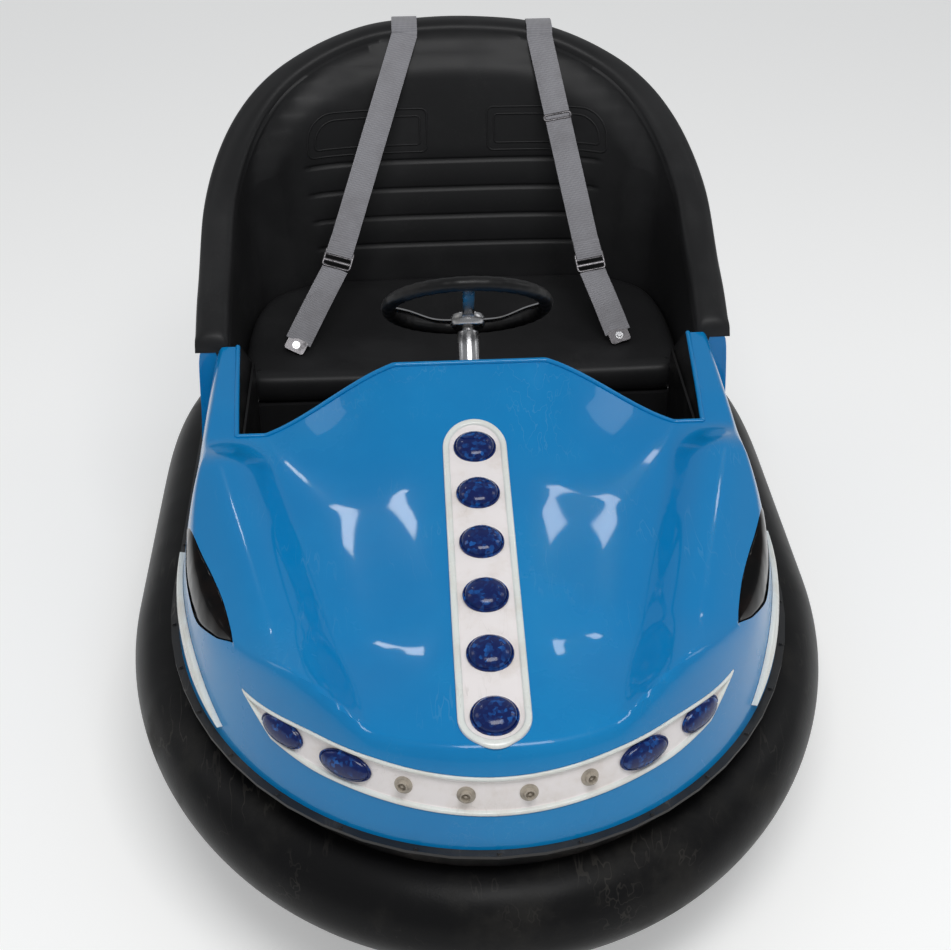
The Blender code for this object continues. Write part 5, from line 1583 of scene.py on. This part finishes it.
# ---- steering ------------------------------------------------------------------------------------
def grip_tree() -> bpy.types.NodeTree:
    """The node tree of the steering wheel's grip: a tube round a circle, waved for the fingers."""
    tree = bpy.data.node_groups.new("waved_grip", "GeometryNodeTree")
    for label, kind in (("Start", "Geometry"), ("Radius", "Float"), ("Tube", "Float"), ("Waves", "Float"),
                        ("Depth", "Float"), ("Finish", "Material")):
        tree.interface.new_socket(label, in_out="INPUT", socket_type="NodeSocket" + kind)
    tree.interface.new_socket("Grip", in_out="OUTPUT", socket_type="NodeSocketGeometry")
    wiring = Wiring(tree)
    start, end = wiring.node("NodeGroupInput"), wiring.node("NodeGroupOutput")
    circle = "GeometryNodeCurvePrimitiveCircle"
    path = wiring.node(circle, {"Resolution": 220, "Radius": start.outputs["Radius"]})
    tube = wiring.node(circle, {"Resolution": 28, "Radius": start.outputs["Tube"]})
    swept = wiring.node("GeometryNodeCurveToMesh", {0: path.outputs[0], 1: tube.outputs[0]})
    place = wiring.node("GeometryNodeInputPosition")
    parts = wiring.node("ShaderNodeSeparateXYZ", {0: place.outputs[0]})
    turn = wiring.math("ARCTAN2", parts.outputs[1], parts.outputs[0])
    waves = wiring.math("MULTIPLY", turn.outputs[0], start.outputs["Waves"])
    sine = wiring.math("SINE", waves.outputs[0])
    depth = wiring.math("MULTIPLY", sine.outputs[0], start.outputs["Depth"])
    normal = wiring.node("GeometryNodeInputNormal")
    push = wiring.node("ShaderNodeVectorMath", {0: normal.outputs[0], "Scale": depth.outputs[0]},
                       operation="SCALE")
    moved = wiring.node("GeometryNodeSetPosition", {"Geometry": swept.outputs[0], "Offset": push.outputs[0]})
    real = wiring.node("GeometryNodeRealizeInstances", {0: moved.outputs[0]})
    dressed = wiring.node("GeometryNodeSetMaterial", {"Geometry": real.outputs[0],
                                                      "Material": start.outputs["Finish"]})
    tree.links.new(dressed.outputs[0], end.inputs[0])
    return tree


@dataclass
class Steering:
    """The steering wheel, its hub and spokes, and the column."""

    centre: tuple[float, float, float] = (0.0, 0.036, 0.712)
    axis: tuple[float, float, float] = (0.0, 0.676, 0.737)
    radius: float = 0.132
    tube: float = 0.0122
    waves: float = 36.0
    wave_depth: float = 0.0003

    def build(self) -> None:
        """Make the wheel and the column."""
        place = axis_matrix(self.centre, self.axis)
        self.build_grip(place)
        self.build_spokes(place)
        tube = [(0.0101, -0.200), (0.0180, -0.200), (0.0185, -0.1990), (0.0185, -0.0480), (0.0178, -0.0455),
                (0.0101, -0.0450), (0.0101, -0.200)]
        piece = make_piece("steering_column_tube", lathe(tube, place, 40), STEEL, 35)
        hand_over(piece, "root", "bright_steel", "column_tube")
        flange = [(0.0190, -0.1955), (0.0420, -0.1955), (0.0430, -0.1945), (0.0430, -0.1925),
                  (0.0300, -0.1905), (0.0225, -0.1850), (0.0190, -0.1800), (0.0190, -0.1955)]
        piece = make_piece("column_flange", lathe(flange, place, 40), BLACK_PART, 35)
        hand_over(piece, "root", "frame_paint")

    def build_grip(self, place: Matrix) -> None:
        """The padded rim."""
        mesh = bpy.data.meshes.new("wheel_grip")
        piece = bpy.data.objects.new("wheel_grip", mesh)
        bpy.context.scene.collection.objects.link(piece)
        run_tree(piece, grip_tree(), {"Radius": self.radius, "Tube": self.tube, "Waves": self.waves,
                                      "Depth": self.wave_depth, "Finish": BLACK_PART})
        bm = bmesh.new()
        bm.from_mesh(piece.data)
        bmesh.ops.remove_doubles(bm, verts=bm.verts, dist=1e-6)
        bmesh.ops.recalc_face_normals(bm, faces=bm.faces)
        bm.to_mesh(piece.data)
        bm.free()
        piece.data.transform(place)
        piece.data.shade_smooth()
        hand_over(piece, "steering_wheel", "moulded_black", "wheel_rim")

    def build_spokes(self, place: Matrix) -> None:
        """The hub with its cap and the three flat spokes."""
        hub = [(0.0, -0.037), (0.026, -0.037), (0.0285, -0.034), (0.030, -0.023), (0.027, -0.0165),
               (0.0215, -0.0148), (0.0200, -0.0150), (0.0190, -0.0135), (0.0150, -0.0122), (0.0080, -0.0118),
               (0.0, -0.0116)]
        bm = lathe(hub, place, 48)
        for way in (0.0, math.pi, 1.5 * math.pi):
            out = Vector((math.cos(way), math.sin(way), 0.0))
            world = place.to_3x3() @ out
            if way > 4 and world.y > 0:
                out = -out
            reach = self.radius - 0.4 * self.tube
            path = through([(*(out * 0.012).xy, -0.0262), (*(out * 0.055).xy, -0.0228),
                            (*(out * (reach - 0.030)).xy, -0.0075), (*(out * reach).xy, 0.0)], 26)
            add_to(bm, sweep([place @ p for p in path], round_section(0.024, 0.0046, 16, 0.6),
                             place.to_3x3() @ UP, taper=lambda t: 1.0 - 0.20 * math.sin(math.pi * t)))
        piece = make_piece("wheel_hub_and_spokes", bm, STEEL, 40)
        hand_over(piece, "steering_wheel", "bright_steel", "wheel_spokes")


# ---- running gear --------------------------------------------------------------------------------
@dataclass
class Wheel:
    """A tyre and hub on one axle."""

    tyre: str
    hub: str
    body: str
    centre: tuple[float, float, float]
    radius: float
    width: float
    hub_radius: float
    bore: float

    def build(self) -> None:
        """Make the tyre, the hub and its bolts."""
        place = axis_matrix(self.centre, (1.0, 0.0, 0.0))
        half, r = self.width / 2, self.radius
        profile = [(self.hub_radius + 0.0004, -half * 0.86), (r * 0.80, -half * 0.93),
                   (r * 0.90, -half * 0.985), (r * 0.945, -half * 0.93), (r * 0.975, -half * 0.80),
                   (r * 0.992, -half * 0.62)]
        for groove in (-0.42, 0.0, 0.42):
            profile += [(r, (groove - 0.10) * half), (r - 0.0032, (groove - 0.055) * half),
                        (r - 0.0032, (groove + 0.055) * half), (r, (groove + 0.10) * half)]
        profile += [(radius, -height) for radius, height in reversed(profile[:6])]
        profile.append(profile[0])
        piece = make_piece("tread_" + self.tyre, lathe(profile, place, 96), TYRE, 35)
        hand_over(piece, self.body, "tyre_rubber", self.tyre)
        hub = self.hub_radius
        face = [(self.bore, -half), (0.022, -half), (0.0235, -half + 0.002), (0.026, -half * 0.45),
                (hub - 0.008, -half * 0.50), (hub - 0.004, -half * 0.74), (hub, -half * 0.80)]
        if self.body == "drive_wheel":
            end = half + 0.022
            face = [(0.0, -end), (0.010, -end), (0.011, -end + 0.001), (0.011, -half * 0.70),
                    (0.024, -half * 0.62), (0.046, -half * 0.50), (hub - 0.005, -half * 0.72),
                    (hub, -half * 0.80)]
        both = face + [(radius, -height) for radius, height in reversed(face)]
        if self.body != "drive_wheel":
            both.append(both[0])
        piece = make_piece("pressed_" + self.hub, lathe(both, place, 72), STEEL, 30)
        hand_over(piece, self.body, "bright_steel", self.hub)
        spots = []
        for side in (-1, 1):
            for k in range(5):
                turn = 2 * math.pi * k / 5
                ring = 0.5 * (0.024 + hub - 0.006)
                foot = Vector((ring * math.cos(turn), ring * math.sin(turn), side * half * 0.50))
                spots.append(Spot(place @ foot, Vector((side, 0.0, 0.0)), UP))
        row = row_of("bolts_" + self.hub, Repeat.BOLT, spots, (0.0034, 0.0034, 0.0034), STEEL, 0.02, 7)
        hand_over(row, self.body, "bright_steel")


@dataclass
class Drive:
    """The finned motor, the chain and the repeated parts under the hood."""

    motor_start: float = 0.0513
    motor_z: float = 0.175
    drive_y: float = -0.470
    pinion_y: float = -0.220
    chain_z: float = 0.292
    chain_radius: float = 0.0488
    links: int = 64

    def build(self) -> None:
        """Make the motor and the chain."""
        side = self.motor_start
        profile = [(0.0, side), (0.030, side), (0.030, side + 0.012), (0.055, side + 0.012),
                   (0.0595, side + 0.017)]
        for k in range(9):
            z = side + 0.024 + 0.0085 * k
            profile += [(0.060, z), (0.060, z + 0.003), (0.0545, z + 0.0036), (0.0545, z + 0.0078)]
        profile += [(0.0595, side + 0.104), (0.0540, side + 0.112), (0.020, side + 0.112), (0.0, side + 0.112)]
        place = axis_matrix((0.0, self.drive_y, self.motor_z), (1.0, 0.0, 0.0))
        piece = make_piece("finned_drive_motor", lathe(profile, place, 72), FRAME_PAINT, 30)
        hand_over(piece, "drive_unit", "frame_paint", "drive_motor")
        spots, rollers = [], []
        straight = self.pinion_y - self.drive_y
        arc = math.pi * self.chain_radius
        for k in range(self.links):
            run = 2 * (straight + arc) * k / self.links
            if run < straight:
                foot, along = Vector((self.chain_radius, self.drive_y + run)), Vector((0.0, 1.0))
            elif run < straight + arc:
                foot, along = self.round_sprocket((run - straight) / self.chain_radius, self.pinion_y)
            elif run < 2 * straight + arc:
                foot = Vector((-self.chain_radius, self.pinion_y - (run - straight - arc)))
                along = Vector((0.0, -1.0))
            else:
                turn = math.pi + (run - 2 * straight - arc) / self.chain_radius
                foot, along = self.round_sprocket(turn, self.drive_y)
            rollers.append(Spot(Vector((*foot, self.chain_z + 0.004)), UP, Vector((*along, 0.0))))
            inner = 0.0022 if k % 2 else 0.0033
            for rise in (-inner, inner):
                spots.append(Spot(Vector((*foot, self.chain_z + 0.004 + rise)), UP, Vector((*along, 0.0))))
        row = row_of("chain_link_plates", Repeat.BLOCK, spots, (0.0056, 0.0134, 0.0010), STEEL)
        hand_over(row, "root", "bright_steel", "steering_chain")
        hand_over(row_of("chain_rollers", Repeat.BLOCK, rollers, (0.0042, 0.0046, 0.0034), STEEL), "root",
                  "bright_steel")

    def round_sprocket(self, turn: float, y: float) -> tuple[Vector, Vector]:
        """A place on the chain where it wraps a sprocket at y, and the way the chain runs there."""
        out = Vector((math.cos(turn), math.sin(turn)))
        return out * self.chain_radius + Vector((0.0, y)), Vector((-out.y, out.x))


@dataclass
class Cabin:
    """The ribbed mat in the footwell, the trims under the sills and the pedal's rubber bars."""

    floor_z: float = 0.1546
    half_width: float = 0.3835
    front_y: float = -0.1605
    rear_y: float = 0.2394
    liner_x: float = 0.3884
    liner_top_z: float = 0.508
    liner_front_y: float = -0.1645
    trim_height: float = 0.016
    sill_front: tuple[float, float, float] = (0.398, -0.055, 0.521)
    sill_rear: tuple[float, float, float] = (0.412, 0.205, 0.549)

    def build(self) -> None:
        """Make the mat, the sill trims and the pedal bars."""
        top = self.floor_z + 0.0030
        outline = [(-self.half_width, self.front_y), (self.half_width, self.front_y),
                   (self.half_width, self.rear_y), (-self.half_width, self.rear_y)]
        mat = make_piece("footwell_mat", prism(outline, self.floor_z, top), RUBBER, 30)
        hand_over(mat, "root", "bumper_rubber")
        spots = [Spot(Vector((x, 0.5 * (self.front_y + self.rear_y), top + 0.0008)), UP)
                 for x in np.arange(-self.half_width + 0.010, self.half_width - 0.005, 0.0125)]
        size = (0.005, self.rear_y - self.front_y - 0.012, 0.0024)
        hand_over(row_of("footwell_mat_ribs", Repeat.BLOCK, spots, size, RUBBER), "root", "bumper_rubber")
        for side, word in ((-1, "right"), (1, "left")):
            rings = []
            for k in range(25):
                y = self.liner_front_y + (self.rear_y - self.liner_front_y) * k / 24
                rings.append([Vector((side * x, y, z)) for x, z in self.trim_section(y)])
            trim = make_piece("sill_trim_" + word, loft(rings), BLACK_PART, 40)
            hand_over(trim, "root", "moulded_black")
        slope = Vector((0.0, 0.068, -0.053)).normalized()
        normal = Vector((0.0, 0.053, 0.068)).normalized()
        start = Vector((-0.105, -0.108, 0.215))
        spots = [Spot(start + slope * (0.010 + 0.0125 * k) + normal * 0.0010, normal, Vector((1.0, 0.0, 0.0)))
                 for k in range(6)]
        row = row_of("pedal_bars", Repeat.BLOCK, spots, (0.0055, 0.070, 0.0030), RUBBER)
        hand_over(row, "root", "bumper_rubber")

    def trim_section(self, y: float) -> list[Point2]:
        """Section of a sill trim in x and z, from the liner's top edge out to the sill."""
        (front_x, front_y, front_z), (rear_x, rear_y, rear_z) = self.sill_front, self.sill_rear
        share = max(0.0, (y - front_y) / (rear_y - front_y))
        sill_x, sill_z = front_x + (rear_x - front_x) * share, front_z + (rear_z - front_z) * share
        low_z, wall_x = self.liner_top_z - self.trim_height, self.liner_x + 0.003
        return [(self.liner_x, low_z), (self.liner_x, self.liner_top_z), (sill_x, sill_z),
                (sill_x + 0.001, sill_z - 0.004), (wall_x, self.liner_top_z - 0.005), (wall_x, low_z)]


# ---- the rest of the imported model's pieces -------------------------------------------------------
CARRIED_OVER = {
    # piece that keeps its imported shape: its finish
    "chassis_frame": FRAME_PAINT, "front_bridge": FRAME_PAINT, "bumper_band": FRAME_PAINT,
    "footwell_liner": BLACK_PART, "dash_panel": BLACK_PART, "bench_base": SEAT_BLACK,
    "accelerator_pedal": FRAME_PAINT, "battery_block": BLACK_PART, "steering_shaft": STEEL,
    "pinion_shaft": STEEL, "drive_fork": FRAME_PAINT, "rear_axle": FRAME_PAINT,
}


def dress_carried_over() -> None:
    """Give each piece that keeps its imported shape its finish."""
    for name, material in CARRIED_OVER.items():
        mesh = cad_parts[name].data
        mesh.materials.clear()
        mesh.materials.append(material)
        log.info("%s keeps its shape, finish %s", name, material.name)


# ---- floor, lights and camera --------------------------------------------------------------------
@dataclass
class Studio:
    """Pale floor, soft light and the camera."""

    skin: FrontSkin
    camera_at: tuple[float, float, float] = (-0.094, -2.423, 1.953)
    yaw: float = 2.44
    pitch: float = 32.65
    roll: float = -0.69
    lens: float = 61.95
    sky: float = 0.38
    floor_glow: float = 0.30
    windows: tuple[tuple[float, float, float, float, float], ...] = (
        # x and y of the glint on the hood, the lamp's width and height, its brightness
        (-0.215, -0.265, 0.075, 0.150, 0.45),
        (0.112, -0.335, 0.120, 0.095, 0.35),
    )

    def build(self) -> None:
        """Set everything up."""
        scene = bpy.context.scene
        scene.view_settings.view_transform = "Standard"
        self.build_world()
        self.build_floor()
        camera = bpy.data.objects.new("camera", bpy.data.cameras.new("camera"))
        scene.collection.objects.link(camera)
        camera.data.sensor_width, camera.data.lens = 36.0, self.lens
        camera.data.clip_end = 60.0
        camera.matrix_world = self.camera_matrix()
        scene.camera = camera
        self.area("softbox_front", (0.3, -1.9, 3.7), (0.0, 0.0, 0.4), (2.2, 1.2), 62.0)
        self.area("softbox_left", (3.2, 0.6, 2.4), (0.0, 0.0, 0.4), (0.8, 1.6), 7.0)
        self.area("softbox_right", (-3.2, 0.6, 2.4), (0.0, 0.0, 0.4), (0.8, 1.6), 6.0)
        eye = Vector(self.camera_at)
        for number, (x, y, width, height, power) in enumerate(self.windows, 1):
            spot, normal = self.skin.at((x, y, 2.0), (0.0, 0.0, -1.0))
            ray = (spot - eye).normalized()
            ray = ray - normal * (2.0 * ray.dot(normal))
            self.area("window_%d" % number, spot + ray * 2.2, spot, (width, height), power)

    def camera_matrix(self) -> Matrix:
        """The camera's place and turn."""
        yaw, pitch, roll = (math.radians(v) for v in (self.yaw, self.pitch, self.roll))
        ahead = Vector((math.sin(yaw) * math.cos(pitch), math.cos(yaw) * math.cos(pitch), -math.sin(pitch)))
        right = Vector((math.cos(yaw), -math.sin(yaw), 0.0))
        up = right.cross(ahead)
        right, up = (right * math.cos(roll) + up * math.sin(roll),
                     up * math.cos(roll) - right * math.sin(roll))
        matrix = Matrix((right, up, -ahead)).transposed().to_4x4()
        matrix.translation = Vector(self.camera_at)
        return matrix

    def build_world(self) -> None:
        """An even pale sky."""
        world = bpy.data.worlds.new("sky")
        world.use_nodes = True
        back = world.node_tree.nodes["Background"]
        back.inputs["Color"].default_value = (0.96, 0.98, 1.0, 1.0)
        back.inputs["Strength"].default_value = self.sky
        bpy.context.scene.world = world

    def build_floor(self) -> None:
        """A wide pale floor."""
        bm = bmesh.new()
        for x, y in ((-30, -30), (30, -30), (30, 30), (-30, 30)):
            bm.verts.new((x, y, 0.0))
        bm.faces.new(bm.verts)
        mesh = bpy.data.meshes.new("floor")
        bm.to_mesh(mesh)
        bm.free()
        material = bpy.data.materials.new("pale_floor")
        material.use_nodes = True
        shader = material.node_tree.nodes["Principled BSDF"]
        shader.inputs["Base Color"].default_value = (0.90, 0.90, 0.89, 1.0)
        shader.inputs["Roughness"].default_value = 0.9
        shader.inputs["Specular IOR Level"].default_value = 0.1
        shader.inputs["Emission Color"].default_value = (1.0, 1.0, 1.0, 1.0)
        wiring = Wiring(material.node_tree)
        path = wiring.node("ShaderNodeLightPath")
        seen = wiring.math("MAXIMUM", path.outputs["Is Camera Ray"], path.outputs["Is Glossy Ray"])
        seen = wiring.math("MAXIMUM", seen.outputs[0], path.outputs["Is Transmission Ray"])
        glow = wiring.math("MULTIPLY", seen.outputs[0], self.floor_glow)
        wiring.tree.links.new(glow.outputs[0], shader.inputs["Emission Strength"])
        mesh.materials.append(material)
        floor = bpy.data.objects.new("floor", mesh)
        bpy.context.scene.collection.objects.link(floor)

    @staticmethod
    def area(name: str, spot: Sequence[float], aim: Sequence[float], size: Point2, power: float) -> None:
        """A soft rectangular lamp.

        Args:
            name: the lamp's name.
            spot: where it hangs.
            aim: what it points at.
            size: its width and height.
            power: its strength in watts.
        """
        data = bpy.data.lights.new(name, "AREA")
        data.shape, data.size, data.size_y, data.energy = "RECTANGLE", size[0], size[1], power
        lamp = bpy.data.objects.new(name, data)
        bpy.context.scene.collection.objects.link(lamp)
        turn = (Vector(aim) - Vector(spot)).to_track_quat("-Z", "Y").to_matrix().to_4x4()
        lamp.matrix_world = Matrix.Translation(Vector(spot)) @ turn
        lamp.visible_camera = False


def main() -> None:
    """Build the car's looks, piece by piece, then the studio round it."""
    logging.basicConfig(level=logging.INFO, format="%(name)s: %(message)s")
    front = FrontBody()
    front.build()
    Bumper().build()
    Tail().build()
    seat = Seat()
    seat.build()
    for belt in BELTS:
        belt.build(seat)
    Steering().build()
    for side, word in ((-1, "right"), (1, "left")):
        Wheel("rear_tyre_" + word, "rear_hub_" + word, "rear_wheel_" + word, (side * 0.385, 0.520, 0.085),
              0.085, 0.045, 0.045, 0.0117).build()
    Wheel("drive_tyre", "drive_hub", "drive_wheel", (0.0, -0.470, 0.105), 0.105, 0.058, 0.062, 0.0).build()
    Drive().build()
    Cabin().build()
    dress_carried_over()
    Studio(front.skin).build()


if __name__ == "__main__":
    main()
